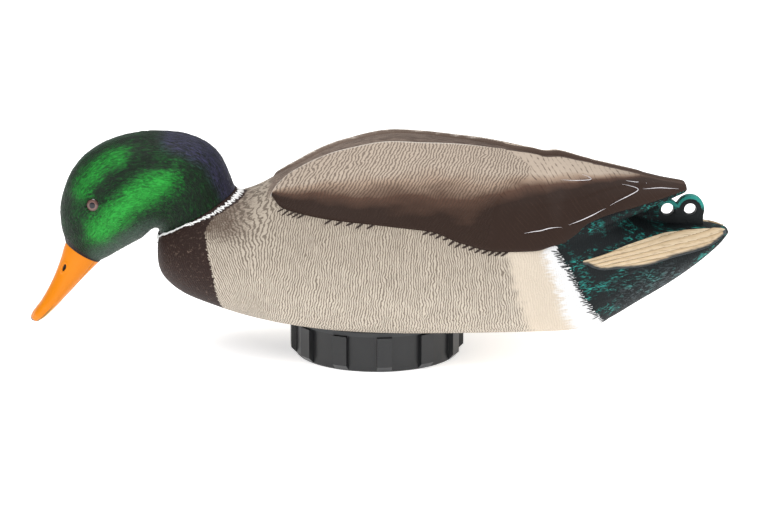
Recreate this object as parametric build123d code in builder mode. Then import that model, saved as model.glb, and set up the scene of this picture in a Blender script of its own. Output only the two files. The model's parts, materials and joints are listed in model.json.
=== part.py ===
"""A floating duck decoy: hollow moulded body and head, and a sealed shaker unit under the belly.

Millimetres, +Z up. The origin is the middle of the screw cap's flat bottom, which the decoy stands on.
The bill points to -X and the tail to +X. The shaker unit is a battery can that hangs inside the body:
four cells, a small motor and an off-centre weight make the decoy tremble and throw ripples.
"""

import os
from math import cos, pi, radians, sin, sqrt

from build123d import *

os.makedirs("parts", exist_ok=True)

# ---------------------------------------------------------------- overall sizes
body_length = 410.0
body_width = 180.0
body_height = 134.0
shell_wall = 3.0

# the drawn decoy that the outline stations below belong to
drawn_length = 410.0
drawn_half_width = 90.0
drawn_height = 134.0
drawn_belly = 24.0
drawn_collar_x = -128.5
drawn_collar_z = 104.0
drawn_head_half_width = 34.0
drawn_bill_half_width = 12.5
drawn_rump = 94.5
drawn_ridge_start_x = 172.0
drawn_ridge_foot_z = 92.0
drawn_ridge_top_z = 115.0
drawn_eye_x = -201.0
drawn_eye_across = 27.2
drawn_eye_z = 114.0

# how far a cutting tool runs past the face it cuts, and how deep a rib roots in its wall
overcut = 1.0
root = 0.5

# ---------------------------------------------------------------- screw cap and its neck
cap_floor = 4.0
cap_height = 25.6
cap_wall = 3.4
cap_edge_chamfer = 4.3
rib_count = 12
rib_width = 10.6
rib_height = 3.5
rib_first_angle = -85.0
base_groove_radius = 31.0
base_groove_width = 2.0
base_groove_depth = 0.8

thread_pitch = 6.0
thread_turns = 2.0
thread_height = 2.0
thread_root_half = 1.2
thread_crest_half = 0.5
thread_start = 9.0
thread_seat_lift = 2.3
thread_root_sink = 0.5
thread_clearance = 0.6

seal_thickness = 1.9
seal_gap = 0.1

# ---------------------------------------------------------------- battery well
well_wall = 2.5
neck_wall = 2.0
well_depth = 86.0
well_roof = 2.5
flange_reach = 8.0
flange_thickness = 3.0
gasket_thickness = 1.0
seat_clearance = 0.4
landing_margin = 3.0
landing_depth = 6.0
key_rib_width = 3.0
key_rib_height = 3.0
key_clearance = 0.4
key_rib_foot = 4.0

well_screw_count = 6
well_screw_reach = 4.0
well_screw_radius = 1.75
well_screw_head_radius = 3.0
well_screw_head_depth = 1.8
well_screw_length = 13.5
boss_radius = 4.0
boss_height = 9.0
well_screw_first_angle = 30

# ---------------------------------------------------------------- shaker module
cell_radius = 13.1
cell_length = 50.0
cell_gap = 0.6
cell_margin = 7.4
cell_count = 4
cell_first_angle = 45
nub_radius = 2.8
nub_height = 1.4
tray_clearance = 0.8
tray_skirt_inset = 1.7
tray_skirt_wall = 4.0
tray_gap = 0.2
tray_skirt_height = 7.8
tray_plate = 3.0
tube_wall = 2.0
cover_plate = 3.0
contact_height = 2.0
contact_strip = 0.5
contact_width = 8.0
contact_half = 9.0
contact_rise_start = 4.0
contact_rise_run = 5.0
contact_land = 5.0
post_radius = 4.0
post_offset = 10.0
post_count = 4
cover_screw_radius = 1.25
cover_screw_head_radius = 2.5
cover_screw_head_height = 1.6
cover_screw_grip = 9.0
recess_radius = 1.2
recess_depth = 0.8
recess_slot = 0.8

motor_radius = 12.2
motor_can_length = 26.8
motor_can_wall = 1.0
motor_end_length = 4.0
motor_boss_radius = 5.0
motor_boss_height = 2.2
motor_fit = 0.1
motor_screw_circle = 8.0
motor_screw_radius = 1.0
motor_screw_head_radius = 1.9
motor_screw_head_height = 1.2
shaft_radius = 1.0
shaft_fit = 0.06
shaft_tail = 2.0
shaft_reach = 82.5
rotor_radius = 9.4
rotor_length = 18.0
rotor_poles = 3
rotor_slot = 1.6

weight_radius = 22.0
weight_thickness = 9.0
weight_hub_radius = 5.0
weight_lift = 3.0
weight_screw_radius = 1.25

switch_length = 19.0
switch_width = 13.0
switch_depth = 16.0
switch_rim = 1.0
switch_rim_height = 1.0
switch_wall = 1.2
rocker_length = 14.0
rocker_width = 9.0
rocker_drop = 6.0
rocker_pivot_depth = 2.5
rocker_pin_radius = 1.5
rocker_fit = 0.05
rocker_side_gap = 0.3
rocker_dish = 1.2
rocker_shoulder = 1.5
rocker_crown = 3.0
rocker_taper = 1.0
pin_end_gap = 0.4
lead_radius = 0.6
lead_bend = 5.5
lead_foot = 5.0
lead_head = 6.5
lead_straight = 0.36

# ---------------------------------------------------------------- head, bill and eyes
collar_radius = 31.8
collar_setback = 29.5
collar_height = 80.0
collar_tilt = 30.2
collar_floor = 4.0
collar_gap = 0.3
stump_length = 40.0
stump_flare = 12.0
head_wall = 3.0
head_half_width = 34.0
pivot_bore_radius = 22.0
pivot_fit = 0.08
pivot_wall = 3.0
pivot_flange = 4.0
pivot_flange_thickness = 3.0
pivot_groove_depth = 1.2
ring_thickness = 2.0
ring_width = 5.0
washer_thickness = 1.0
washer_gap = 0.2
washer_reach = 1.0
ring_slot = 12.5
pivot_lip = 1.5
head_above_collar = 60.0

bill_length = 62.0
bill_half_width = 12.5
bill_seam = 0.4
bill_plug_radius = 5.0
bill_plug_length = 5.0
bill_droop = 56.5
eye_radius = 4.6
eye_seat = 2.0
eye_dome = 1.2
eye_bevel = 1.1
eye_socket_depth = 12.0

# ---------------------------------------------------------------- curled tail feathers
curl_thickness = 8.0
curl_front_bore = 4.5
curl_rear_bore = 4.3
curl_front_rim = 2.7
curl_rear_rim = 5.9
curl_spacing = 16.3
curl_setback = 44.0
curl_rise = 10.5
curl_slot_margin = 9.0
curl_slot_lead = 0.5
curl_slot_sink = 5.5
curl_slot_height = 12.0
curl_web_drop = 3.0
ridge_start_half = 13.0

# ================================================================ shared places
scale_x = body_length / drawn_length
scale_y = body_width / 2 / drawn_half_width
scale_z = body_height / drawn_height

# the motor's tube sets the ring of cells, the cells set the well, and the well sets neck, cap and flange
tube_bore = motor_radius + motor_fit
tube_outer = tube_bore + tube_wall
cell_circle = tube_outer + cell_gap + cell_radius
post_circle = cell_circle + post_offset
well_bore_radius = cell_circle + cell_radius + cell_margin
well_outer_radius = well_bore_radius + well_wall
neck_radius = well_outer_radius + neck_wall
cap_bore_radius = neck_radius + thread_height + thread_clearance
cap_wall_radius = cap_bore_radius + cap_wall
flange_radius = neck_radius + flange_reach
well_screw_circle = neck_radius + well_screw_reach

rim_z = cap_floor + seal_thickness + seal_gap
flange_bottom = cap_height + seat_clearance
flange_top = flange_bottom + flange_thickness
landing_z = flange_top + gasket_thickness
belly_z = landing_z - landing_depth
landing_radius = flange_radius + landing_margin
well_roof_z = rim_z + well_depth

breast_x = -158.0 * scale_x
tail_x = breast_x + body_length


def hull_x(drawn_x):
    return drawn_x * scale_x


def hull_z(drawn_z):
    return belly_z + (drawn_z - drawn_belly) * scale_z


# Outline stations of the drawn body, front to back: place along X, then the height of the back, of the
# widest line and of the belly, the half width, and how square the underside is (2 is an ellipse).
hull_stations = [
    (-158, 76, 72, 68, 8, 2.0),
    (-156, 91, 74, 60, 24, 2.0),
    (-150, 100, 75, 53.5, 38, 2.0),
    (-138, 106, 76, 46, 52, 2.1),
    (-118, 111, 78, 39.5, 66, 2.3),
    (-92, 117, 80, 33, 77, 2.6),
    (-60, 134, 81, 28, 85, 2.9),
    (-23, 151, 82, 25, 89, 3.2),
    (15, 158, 83, 24, 90, 3.4),
    (60, 154, 83, 24, 88.5, 3.4),
    (100, 147, 82, 24, 84, 3.4),
    (130, 138.5, 81, 23.5, 75, 3.4),
    (150, 124, 80, 23.5, 66, 3.2),
    (166, 113, 79, 29, 58, 2.8),
    (185, 101.5, 78.5, 39, 51, 2.4),
    (205, 95.5, 79, 50, 44, 2.1),
    (228, 94.5, 82, 66, 33, 2.0),
    (243, 93, 85, 79, 21, 2.0),
    (252, 91, 89, 87.5, 8, 2.0),
]
# The folded wings carry on over the rump as one pointed mass.
wing_stations = [
    (100, 141, 100, 92, 66, 2.0),
    (125, 142.8, 98, 90, 73.5, 2.0),
    (150, 137, 103, 95, 61, 2.0),
    (166, 133.5, 107.5, 101, 50.5, 2.0),
    (188, 128.5, 112, 107.5, 36, 2.0),
    (205, 124.5, 116, 113, 22.5, 2.0),
    (221, 122.5, 120, 117.2, 8, 2.0),
]
ring_points = 20


def egg_ring(top, wide, bottom, half_width, square):
    """Points of a closed section, from the top round: an ellipse above the widest line, squarer below."""
    points = []
    for i in range(ring_points):
        a = 2 * pi * i / ring_points
        power = 1.0 if cos(a) >= 0 else 2.0 / square
        across = half_width * abs(sin(a)) ** power * (1 if sin(a) >= 0 else -1)
        up = abs(cos(a)) ** power
        height = wide + (top - wide) * up if cos(a) >= 0 else wide - (wide - bottom) * up
        points.append((across, height))
    return points


def hull_loft(stations, inset):
    """Loft through the stations; an inset draws the same form smaller by a wall all round."""
    first = hull_x(stations[0][0])
    last = hull_x(stations[-1][0])
    middle = (first + last) / 2
    shrink = (last - first - 2 * inset) / (last - first)
    with BuildPart() as form:
        for x, top, wide, bottom, half_width, square in stations:
            place = middle + (hull_x(x) - middle) * shrink
            high = max(hull_z(top) - inset, hull_z(wide) + 0.5)
            low = min(hull_z(bottom) + inset, hull_z(wide) - 0.5)
            across = max(half_width * scale_y - inset, 1.0)
            with BuildSketch(Plane.YZ.offset(place)):
                with BuildLine():
                    Spline(*egg_ring(high, hull_z(wide), low, across, square), periodic=True)
                make_face()
        loft()
    return form.part


# ---------------------------------------------------------------- collar plane between body and head
collar_x = breast_x + collar_setback
collar_z = belly_z + collar_height * scale_z
collar_normal = Vector(-sin(radians(collar_tilt)), 0, cos(radians(collar_tilt)))
collar_along = Vector(cos(radians(collar_tilt)), 0, sin(radians(collar_tilt)))
collar_plane = Plane(origin=(collar_x, 0, collar_z), x_dir=collar_along, z_dir=collar_normal)


def stump_loft(inset, top_drop):
    """The body's neck root: round at the collar, wider where it runs into the breast."""
    with BuildPart() as form:
        with BuildSketch(collar_plane.offset(-top_drop)):
            Circle(collar_radius - inset)
        with BuildSketch(collar_plane.offset(-stump_length)):
            Circle(collar_radius + stump_flare - inset)
        loft()
    return form.part


# ================================================================ body shell
outer_hull = hull_loft(hull_stations, 0)
outer_wings = hull_loft(wing_stations, 0)
inner_hull = hull_loft(hull_stations[1:-1], shell_wall)
inner_wings = hull_loft(wing_stations[:-1], shell_wall)
outer_stump = stump_loft(0, 0)
inner_stump = stump_loft(shell_wall, collar_floor)

well_screw_places = [
    (well_screw_circle * cos(radians(a)), well_screw_circle * sin(radians(a)))
    for a in range(well_screw_first_angle, well_screw_first_angle + 360, 360 // well_screw_count)
]
curl_front_x = tail_x - curl_setback
curl_rear_x = curl_front_x + curl_spacing
rump_z = hull_z(drawn_rump)
curl_z = rump_z + curl_rise
slot_length = curl_spacing + 2 * curl_slot_margin
slot_centre_x = (curl_front_x + curl_rear_x) / 2 + curl_slot_lead
slot_floor_z = rump_z - curl_slot_sink

# a narrow wedge under the folded wings stands on the rump, as far as the curls' slot
ridge_start_x = hull_x(drawn_ridge_start_x)
ridge_end_x = slot_centre_x - slot_length / 2
ridge_foot_z = hull_z(drawn_ridge_foot_z)
ridge_top_z = hull_z(drawn_ridge_top_z)

with BuildPart() as body_shell:
    add(outer_hull)
    add(outer_wings)
    add(outer_stump)
    # nothing of the body stands above the collar's plane
    with BuildSketch(collar_plane):
        Circle(3 * collar_radius)
    extrude(amount=head_above_collar, mode=Mode.SUBTRACT)
    # one hollow runs through body, wings and neck root
    add(inner_hull, mode=Mode.SUBTRACT)
    add(inner_wings, mode=Mode.SUBTRACT)
    add(inner_stump, mode=Mode.SUBTRACT)
    with BuildSketch(Plane.XY.offset(ridge_foot_z)):
        with BuildLine():
            Polyline(
                (ridge_start_x, -ridge_start_half),
                (ridge_end_x, -curl_thickness / 2),
                (ridge_end_x, curl_thickness / 2),
                (ridge_start_x, ridge_start_half),
                close=True,
            )
        make_face()
    extrude(amount=ridge_top_z - ridge_foot_z)
    # a thick flat landing for the battery well
    with BuildSketch(Plane.XY.offset(landing_z - overcut)):
        Circle(landing_radius + shell_wall)
    extrude(amount=shell_wall + overcut)
    with BuildSketch(Plane.XY.offset(belly_z - landing_depth)):
        Circle(landing_radius)
    extrude(amount=2 * landing_depth, mode=Mode.SUBTRACT)
    with BuildSketch(Plane.XY.offset(landing_z - overcut)):
        Circle(well_outer_radius + seat_clearance)
    extrude(amount=well_depth, mode=Mode.SUBTRACT)
    # screw bosses with pilot holes
    with BuildSketch(Plane.XY.offset(landing_z + shell_wall - root)):
        with Locations(*well_screw_places):
            Circle(boss_radius)
    extrude(amount=boss_height)
    with BuildSketch(Plane.XY.offset(landing_z - overcut)):
        with Locations(*well_screw_places):
            Circle(well_screw_radius)
    extrude(amount=well_screw_length + overcut, mode=Mode.SUBTRACT)
    # the hole that the head's pivot turns in
    with BuildSketch(collar_plane.offset(-collar_floor - overcut)):
        Circle(pivot_bore_radius)
    extrude(amount=collar_floor + 2 * overcut, mode=Mode.SUBTRACT)
    # the slot that the curled feathers plug into
    with BuildSketch(Plane.XY.offset(slot_floor_z)):
        with Locations((slot_centre_x, 0)):
            Rectangle(slot_length, curl_thickness)
    extrude(amount=curl_slot_height, mode=Mode.SUBTRACT)

# ================================================================ curled tail feathers
with BuildPart() as tail_curls:
    with BuildSketch(Plane.XZ.offset(-curl_thickness / 2)):
        with Locations((curl_front_x, curl_z)):
            Circle(curl_front_bore + curl_front_rim)
        with Locations((curl_rear_x, curl_z)):
            Circle(curl_rear_bore + curl_rear_rim)
        with Locations((slot_centre_x, (slot_floor_z + curl_z - curl_web_drop) / 2)):
            Rectangle(slot_length, curl_z - slot_floor_z - curl_web_drop)
        with Locations((curl_front_x, curl_z)):
            Circle(curl_front_bore, mode=Mode.SUBTRACT)
        with Locations((curl_rear_x, curl_z)):
            Circle(curl_rear_bore, mode=Mode.SUBTRACT)
    extrude(amount=curl_thickness)

# ================================================================ battery well
key_angles = (90, 270)


def thread_ridge(radius, height, start):
    """One helical ridge; a negative height makes the ridge stand inwards."""
    sink = -thread_root_sink if height > 0 else thread_root_sink
    with BuildPart() as ridge:
        with BuildLine() as path:
            helix = Helix(pitch=thread_pitch, height=thread_pitch * thread_turns, radius=radius)
        start_point = helix @ 0
        with BuildSketch(Plane(origin=start_point, x_dir=(1, 0, 0), z_dir=helix % 0)):
            with BuildLine():
                Polyline(
                    (sink, -thread_root_half),
                    (height, -thread_crest_half),
                    (height, thread_crest_half),
                    (sink, thread_root_half),
                    close=True,
                )
            make_face()
        sweep(path=path.line, is_frenet=True)
    return Pos(0, 0, start) * ridge.part


with BuildPart() as battery_well:
    # the can and its closed roof
    with BuildSketch(Plane.XY.offset(rim_z)):
        Circle(well_outer_radius)
    extrude(amount=well_depth + well_roof)
    # the thicker threaded neck and the flange above it
    with BuildSketch(Plane.XY.offset(rim_z)):
        Circle(neck_radius)
    extrude(amount=flange_bottom - rim_z)
    with BuildSketch(Plane.XY.offset(flange_bottom)):
        Circle(flange_radius)
    extrude(amount=flange_thickness)
    add(thread_ridge(neck_radius, thread_height, thread_start))
    with BuildSketch(Plane.XY.offset(rim_z)):
        Circle(well_bore_radius)
    extrude(amount=well_depth, mode=Mode.SUBTRACT)
    # two ribs keep the module from turning in the well
    for angle in key_angles:
        with BuildSketch(Plane.XY.offset(rim_z + key_rib_foot)):
            with PolarLocations(well_bore_radius - key_rib_height / 2 + root, 1, start_angle=angle):
                Rectangle(key_rib_height + 2 * root, key_rib_width)
        extrude(amount=well_depth - key_rib_foot)
    # countersunk holes in the flange
    with BuildSketch(Plane.XY.offset(flange_bottom)):
        with Locations(*well_screw_places):
            Circle(well_screw_radius)
    extrude(amount=flange_thickness, mode=Mode.SUBTRACT)
    for px, py in well_screw_places:
        with BuildSketch(Plane.XY.offset(flange_bottom)):
            with Locations((px, py)):
                Circle(well_screw_head_radius)
        with BuildSketch(Plane.XY.offset(flange_bottom + well_screw_head_depth)):
            with Locations((px, py)):
                Circle(well_screw_radius)
        loft(mode=Mode.SUBTRACT)

with BuildPart() as well_gasket:
    with BuildSketch(Plane.XY.offset(flange_top)):
        Circle(flange_radius)
        Circle(well_outer_radius + seat_clearance, mode=Mode.SUBTRACT)
        with Locations(*well_screw_places):
            Circle(well_screw_radius, mode=Mode.SUBTRACT)
    extrude(amount=gasket_thickness)

with BuildPart() as well_screws:
    for px, py in well_screw_places:
        with BuildSketch(Plane.XY.offset(flange_bottom)):
            with Locations((px, py)):
                Circle(well_screw_head_radius)
        with BuildSketch(Plane.XY.offset(flange_bottom + well_screw_head_depth)):
            with Locations((px, py)):
                Circle(well_screw_radius)
        loft()
    with BuildSketch(Plane.XY.offset(flange_bottom + well_screw_head_depth)):
        with Locations(*well_screw_places):
            Circle(well_screw_radius)
    extrude(amount=well_screw_length - well_screw_head_depth)
    with BuildSketch(Plane.XY.offset(flange_bottom)):
        with Locations(*well_screw_places):
            Rectangle(2 * recess_radius, recess_slot)
            Rectangle(recess_slot, 2 * recess_radius)
    extrude(amount=recess_depth, mode=Mode.SUBTRACT)

# ================================================================ screw cap
with BuildPart() as base_cap:
    with BuildSketch():
        Circle(cap_wall_radius)
    extrude(amount=cap_height)
    with BuildSketch():
        with PolarLocations(cap_wall_radius, rib_count, start_angle=rib_first_angle):
            Rectangle(2 * rib_height, rib_width)
    extrude(amount=cap_height)
    # the ribs and the wall share one sloped lower edge
    with BuildSketch(Plane.XZ) as edge_cut:
        with BuildLine():
            Polyline(
                (cap_wall_radius + rib_height - cap_edge_chamfer, 0),
                (cap_wall_radius + 2 * rib_height, 0),
                (cap_wall_radius + 2 * rib_height, cap_edge_chamfer + rib_height),
                close=True,
            )
        make_face()
    revolve(axis=Axis.Z, mode=Mode.SUBTRACT)
    with BuildSketch(Plane.XY.offset(cap_floor)):
        Circle(cap_bore_radius)
    extrude(amount=cap_height, mode=Mode.SUBTRACT)
    with BuildSketch():
        Circle(base_groove_radius + base_groove_width / 2)
        Circle(base_groove_radius - base_groove_width / 2, mode=Mode.SUBTRACT)
    extrude(amount=base_groove_depth, mode=Mode.SUBTRACT)
    add(thread_ridge(cap_bore_radius, -thread_height, thread_start + thread_seat_lift))
    # the ridge's run-out is trimmed flush with the cap's mouth
    with BuildSketch(Plane.XY.offset(cap_height)):
        Circle(cap_wall_radius - root)
    extrude(amount=thread_pitch, mode=Mode.SUBTRACT)

with BuildPart() as cap_seal:
    with BuildSketch(Plane.XY.offset(cap_floor)):
        Circle(neck_radius)
        Circle(well_bore_radius, mode=Mode.SUBTRACT)
    extrude(amount=seal_thickness)

# ================================================================ shaker module
tray_radius = well_bore_radius - tray_clearance
tray_foot_z = cap_floor + tray_gap
plate_z = tray_foot_z + tray_skirt_height
plate_top = plate_z + tray_plate
cell_z = plate_top + contact_height
cell_top = cell_z + cell_length
cover_z = cell_top + nub_height + contact_strip
cover_top = cover_z + cover_plate
motor_can_z = cover_z - motor_can_length
motor_end_z = motor_can_z - motor_end_length
weight_z = cover_top + weight_lift
key_notch_depth = key_rib_height - tray_clearance + key_clearance
key_notch_width = key_rib_width + 2 * key_clearance
skirt_radius = tray_radius - tray_skirt_inset - key_notch_depth
post_places = [
    (post_circle * cos(radians(a)), post_circle * sin(radians(a)))
    for a in range(0, 360, 360 // post_count)
]
cell_places = [
    (cell_circle * cos(radians(a)), cell_circle * sin(radians(a)))
    for a in range(cell_first_angle, cell_first_angle + 360, 360 // cell_count)
]
motor_screw_places = [(motor_screw_circle, 0), (-motor_screw_circle, 0)]


def keyed_disc(radius):
    """A round plate in the current sketch with notches for the well's two ribs."""
    Circle(radius)
    for angle in key_angles:
        with PolarLocations(radius - key_notch_depth / 2 + root, 1, start_angle=angle):
            Rectangle(key_notch_depth + 2 * root, key_notch_width, mode=Mode.SUBTRACT)


with BuildPart() as motor_tray:
    with BuildSketch(Plane.XY.offset(plate_z)):
        keyed_disc(tray_radius)
    extrude(amount=tray_plate)
    with BuildSketch(Plane.XY.offset(tray_foot_z)):
        Circle(skirt_radius)
        Circle(skirt_radius - tray_skirt_wall, mode=Mode.SUBTRACT)
    extrude(amount=tray_skirt_height)
    # the tube that holds the motor, and the posts for the cover
    with BuildSketch(Plane.XY.offset(plate_z)):
        Circle(tube_outer)
    extrude(amount=cover_z - plate_z)
    with BuildSketch(Plane.XY.offset(plate_z)):
        with Locations(*post_places):
            Circle(post_radius)
    extrude(amount=cover_z - plate_z)
    with BuildSketch(Plane.XY.offset(motor_end_z)):
        Circle(tube_bore)
    extrude(amount=cover_z - motor_end_z, mode=Mode.SUBTRACT)
    with BuildSketch(Plane.XY.offset(plate_top)):
        Circle(tube_bore)
    extrude(amount=motor_end_z - tube_wall - plate_top, mode=Mode.SUBTRACT)
    with BuildSketch(Plane.XY.offset(motor_end_z - tube_wall)):
        Circle(tube_bore - tube_wall)
    extrude(amount=tube_wall, mode=Mode.SUBTRACT)
    with BuildSketch(Plane.XY.offset(plate_z)):
        Rectangle(switch_length, switch_width)
    extrude(amount=tray_plate, mode=Mode.SUBTRACT)
    with BuildSketch(Plane.XY.offset(cover_z - cover_screw_grip)):
        with Locations(*post_places):
            Circle(cover_screw_radius)
    extrude(amount=cover_screw_grip, mode=Mode.SUBTRACT)

with BuildPart() as tray_cover:
    with BuildSketch(Plane.XY.offset(cover_z)):
        keyed_disc(tray_radius)
        Circle(motor_boss_radius + motor_fit, mode=Mode.SUBTRACT)
        with Locations(*post_places):
            Circle(cover_screw_radius, mode=Mode.SUBTRACT)
        with Locations(*motor_screw_places):
            Circle(motor_screw_radius, mode=Mode.SUBTRACT)
    extrude(amount=cover_plate)

with BuildPart() as cover_screws:
    with BuildSketch(Plane.XY.offset(cover_top)):
        with Locations(*post_places):
            Circle(cover_screw_head_radius)
    extrude(amount=cover_screw_head_height)
    with BuildSketch(Plane.XY.offset(cover_z - cover_screw_grip)):
        with Locations(*post_places):
            Circle(cover_screw_radius)
    extrude(amount=cover_screw_grip + cover_plate)
    with BuildSketch(Plane.XY.offset(cover_top + cover_screw_head_height - recess_depth)):
        with Locations(*post_places):
            Rectangle(2 * recess_radius, recess_slot)
            Rectangle(recess_slot, 2 * recess_radius)
    extrude(amount=recess_depth, mode=Mode.SUBTRACT)

with BuildPart() as battery_cells:
    with BuildSketch(Plane.XY.offset(cell_z)):
        with Locations(*cell_places):
            Circle(cell_radius)
    extrude(amount=cell_length)
    with BuildSketch(Plane.XY.offset(cell_top)):
        with Locations(*cell_places):
            Circle(nub_radius)
    extrude(amount=nub_height)

# a bent strip under each cell presses it up against the plate above
with BuildPart() as lower_contacts:
    for px, py in cell_places:
        rise_x = px - contact_rise_start
        land_x = rise_x + contact_rise_run
        with BuildSketch(Plane.XZ.offset(-py - contact_width / 2)):
            with BuildLine():
                Polyline(
                    (px - contact_half, plate_top),
                    (px + contact_half, plate_top),
                    (px + contact_half, plate_top + contact_strip),
                    (rise_x, plate_top + contact_strip),
                    (land_x, cell_z - contact_strip),
                    (land_x + contact_land, cell_z - contact_strip),
                    (land_x + contact_land, cell_z),
                    (land_x - contact_strip, cell_z),
                    (rise_x - 3 * contact_strip, plate_top + contact_strip),
                    (px - contact_half, plate_top + contact_strip),
                    close=True,
                )
            make_face()
        extrude(amount=contact_width)

with BuildPart() as upper_contacts:
    with BuildSketch(Plane.XY.offset(cell_top + nub_height)):
        with Locations(*cell_places):
            Rectangle(contact_width * 1.5, contact_width)
    extrude(amount=contact_strip)

with BuildPart() as motor_can:
    with BuildSketch(Plane.XY.offset(motor_can_z)):
        Circle(motor_radius)
    extrude(amount=motor_can_length)
    with BuildSketch(Plane.XY.offset(cover_z)):
        Circle(motor_boss_radius)
    extrude(amount=motor_boss_height)
    with BuildSketch(Plane.XY.offset(motor_can_z)):
        Circle(motor_radius - motor_can_wall)
    extrude(amount=motor_can_length - motor_can_wall, mode=Mode.SUBTRACT)
    with BuildSketch(Plane.XY.offset(motor_can_z)):
        Circle(shaft_radius + shaft_fit)
    extrude(amount=motor_can_length + motor_boss_height, mode=Mode.SUBTRACT)
    with BuildSketch(Plane.XY.offset(cover_z - motor_can_wall)):
        with Locations(*motor_screw_places):
            Circle(motor_screw_radius)
    extrude(amount=motor_can_wall, mode=Mode.SUBTRACT)

with BuildPart() as motor_end_cap:
    with BuildSketch(Plane.XY.offset(motor_end_z)):
        Circle(motor_radius)
        Circle(shaft_radius + shaft_fit, mode=Mode.SUBTRACT)
    extrude(amount=motor_end_length)

with BuildPart() as motor_screws:
    with BuildSketch(Plane.XY.offset(cover_z - motor_can_wall)):
        with Locations(*motor_screw_places):
            Circle(motor_screw_radius)
    extrude(amount=motor_can_wall + cover_plate)
    with BuildSketch(Plane.XY.offset(cover_top)):
        with Locations(*motor_screw_places):
            Circle(motor_screw_head_radius)
    extrude(amount=motor_screw_head_height)

with BuildPart() as motor_shaft:
    with BuildSketch(Plane.XY.offset(motor_end_z + shaft_tail)):
        Circle(shaft_radius)
    extrude(amount=shaft_reach - motor_end_z - shaft_tail)

rotor_z = motor_can_z + (motor_can_length - motor_can_wall - rotor_length) / 2
with BuildPart() as motor_rotor:
    with BuildSketch(Plane.XY.offset(rotor_z)):
        Circle(rotor_radius)
        with PolarLocations(rotor_radius, rotor_poles):
            Rectangle(rotor_radius, rotor_slot, mode=Mode.SUBTRACT)
        Circle(shaft_radius, mode=Mode.SUBTRACT)
    extrude(amount=rotor_length)

with BuildPart() as eccentric_weight:
    with BuildSketch(Plane.XY.offset(weight_z)):
        Circle(weight_radius)
        with Locations((-weight_radius / 2, 0)):
            Rectangle(weight_radius, 2 * weight_radius, mode=Mode.SUBTRACT)
        Circle(weight_hub_radius)
        Circle(shaft_radius, mode=Mode.SUBTRACT)
    extrude(amount=weight_thickness)
    with BuildSketch(Plane.YZ.offset(-weight_hub_radius - overcut)):
        with Locations((0, weight_z + weight_thickness / 2)):
            Circle(weight_screw_radius)
    extrude(amount=weight_hub_radius + overcut, mode=Mode.SUBTRACT)

with BuildPart() as weight_screw:
    with BuildSketch(Plane.YZ.offset(-weight_hub_radius)):
        with Locations((0, weight_z + weight_thickness / 2)):
            Circle(weight_screw_radius)
    extrude(amount=weight_hub_radius - shaft_radius)

# ---------------------------------------------------------------- switch and leads
switch_top = plate_z + switch_depth
rocker_pivot_z = plate_z + rocker_pivot_depth
with BuildPart() as switch_housing:
    with BuildSketch(Plane.XY.offset(plate_z - switch_rim_height)):
        Rectangle(switch_length + 2 * switch_rim, switch_width + 2 * switch_rim)
    extrude(amount=switch_rim_height)
    with BuildSketch(Plane.XY.offset(plate_z)):
        Rectangle(switch_length, switch_width)
    extrude(amount=switch_depth)
    with BuildSketch(Plane.XY.offset(plate_z - switch_rim_height)):
        Rectangle(switch_length - 2 * switch_wall, rocker_width + 2 * rocker_side_gap)
    extrude(amount=switch_depth + switch_rim_height - switch_wall, mode=Mode.SUBTRACT)
    with BuildSketch(Plane.XZ.offset(-rocker_width)):
        with Locations((0, rocker_pivot_z)):
            Circle(rocker_pin_radius + rocker_fit)
    extrude(amount=2 * rocker_width, mode=Mode.SUBTRACT)

with BuildPart() as switch_rocker:
    with BuildSketch(Plane.XZ.offset(-rocker_width / 2)):
        with Locations((0, rocker_pivot_z)):
            Polygon(
                (-rocker_length / 2, -rocker_drop),
                (0, -rocker_drop + rocker_dish),
                (rocker_length / 2, -rocker_drop),
                (rocker_length / 2 - rocker_taper, rocker_shoulder),
                (0, rocker_crown),
                (-rocker_length / 2 + rocker_taper, rocker_shoulder),
                align=None,
            )
    extrude(amount=rocker_width)
    with BuildSketch(Plane.XZ.offset(-(switch_width / 2 - pin_end_gap))):
        with Locations((0, rocker_pivot_z)):
            Circle(rocker_pin_radius)
    extrude(amount=switch_width - 2 * pin_end_gap)


def motor_lead(side):
    """An insulated lead from the switch up through the ledge to the motor's end cap."""
    foot = (side * lead_foot, 0, switch_top)
    head = (side * lead_head, 0, motor_end_z)
    rise = head[2] - foot[2]
    with BuildPart() as lead:
        with BuildLine() as path:
            FilletPolyline(
                foot,
                (foot[0], 0, foot[2] + rise * lead_straight),
                (head[0], 0, head[2] - rise * lead_straight),
                head,
                radius=lead_bend,
            )
        with BuildSketch(Plane(origin=foot, z_dir=(0, 0, 1))):
            Circle(lead_radius)
        sweep(path=path.line)
    return lead


red_lead = motor_lead(1)
black_lead = motor_lead(-1)

# ================================================================ head
head_shift = Vector(collar_x - drawn_collar_x, 0, collar_z - drawn_collar_z)
# Each line is a section across the head: its crown point, its throat or chin point, and its half width.
head_sections = [
    ((-113.2, 146.0), (-157.4, 91.4), 33.0),
    ((-133.0, 158.5), (-161.5, 90.5), 34.0),
    ((-160.0, 161.5), (-168.0, 84.5), 33.0),
    ((-186.0, 157.0), (-176.5, 79.5), 31.5),
    ((-206.6, 146.0), (-184.5, 75.0), 29.5),
    ((-219.0, 131.0), (-191.0, 71.2), 26.5),
    ((-226.0, 112.0), (-196.0, 68.5), 22.0),
    ((-226.8, 96.0), (-198.5, 67.2), 17.5),
    ((-224.0, 81.5), (-199.6, 66.0), 13.0),
]
neck_sections = 4
head_width_scale = head_half_width / drawn_head_half_width


def section_plane(crown, chin):
    """The plane across the head through a crown point and a chin point; its X runs up to the crown."""
    middle = Vector((crown[0] + chin[0]) / 2, 0, (crown[1] + chin[1]) / 2) + head_shift
    up = Vector(crown[0] - chin[0], 0, crown[1] - chin[1]).normalized()
    return Plane(origin=middle, x_dir=up, z_dir=up.cross(Vector(0, 1, 0)))


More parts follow.
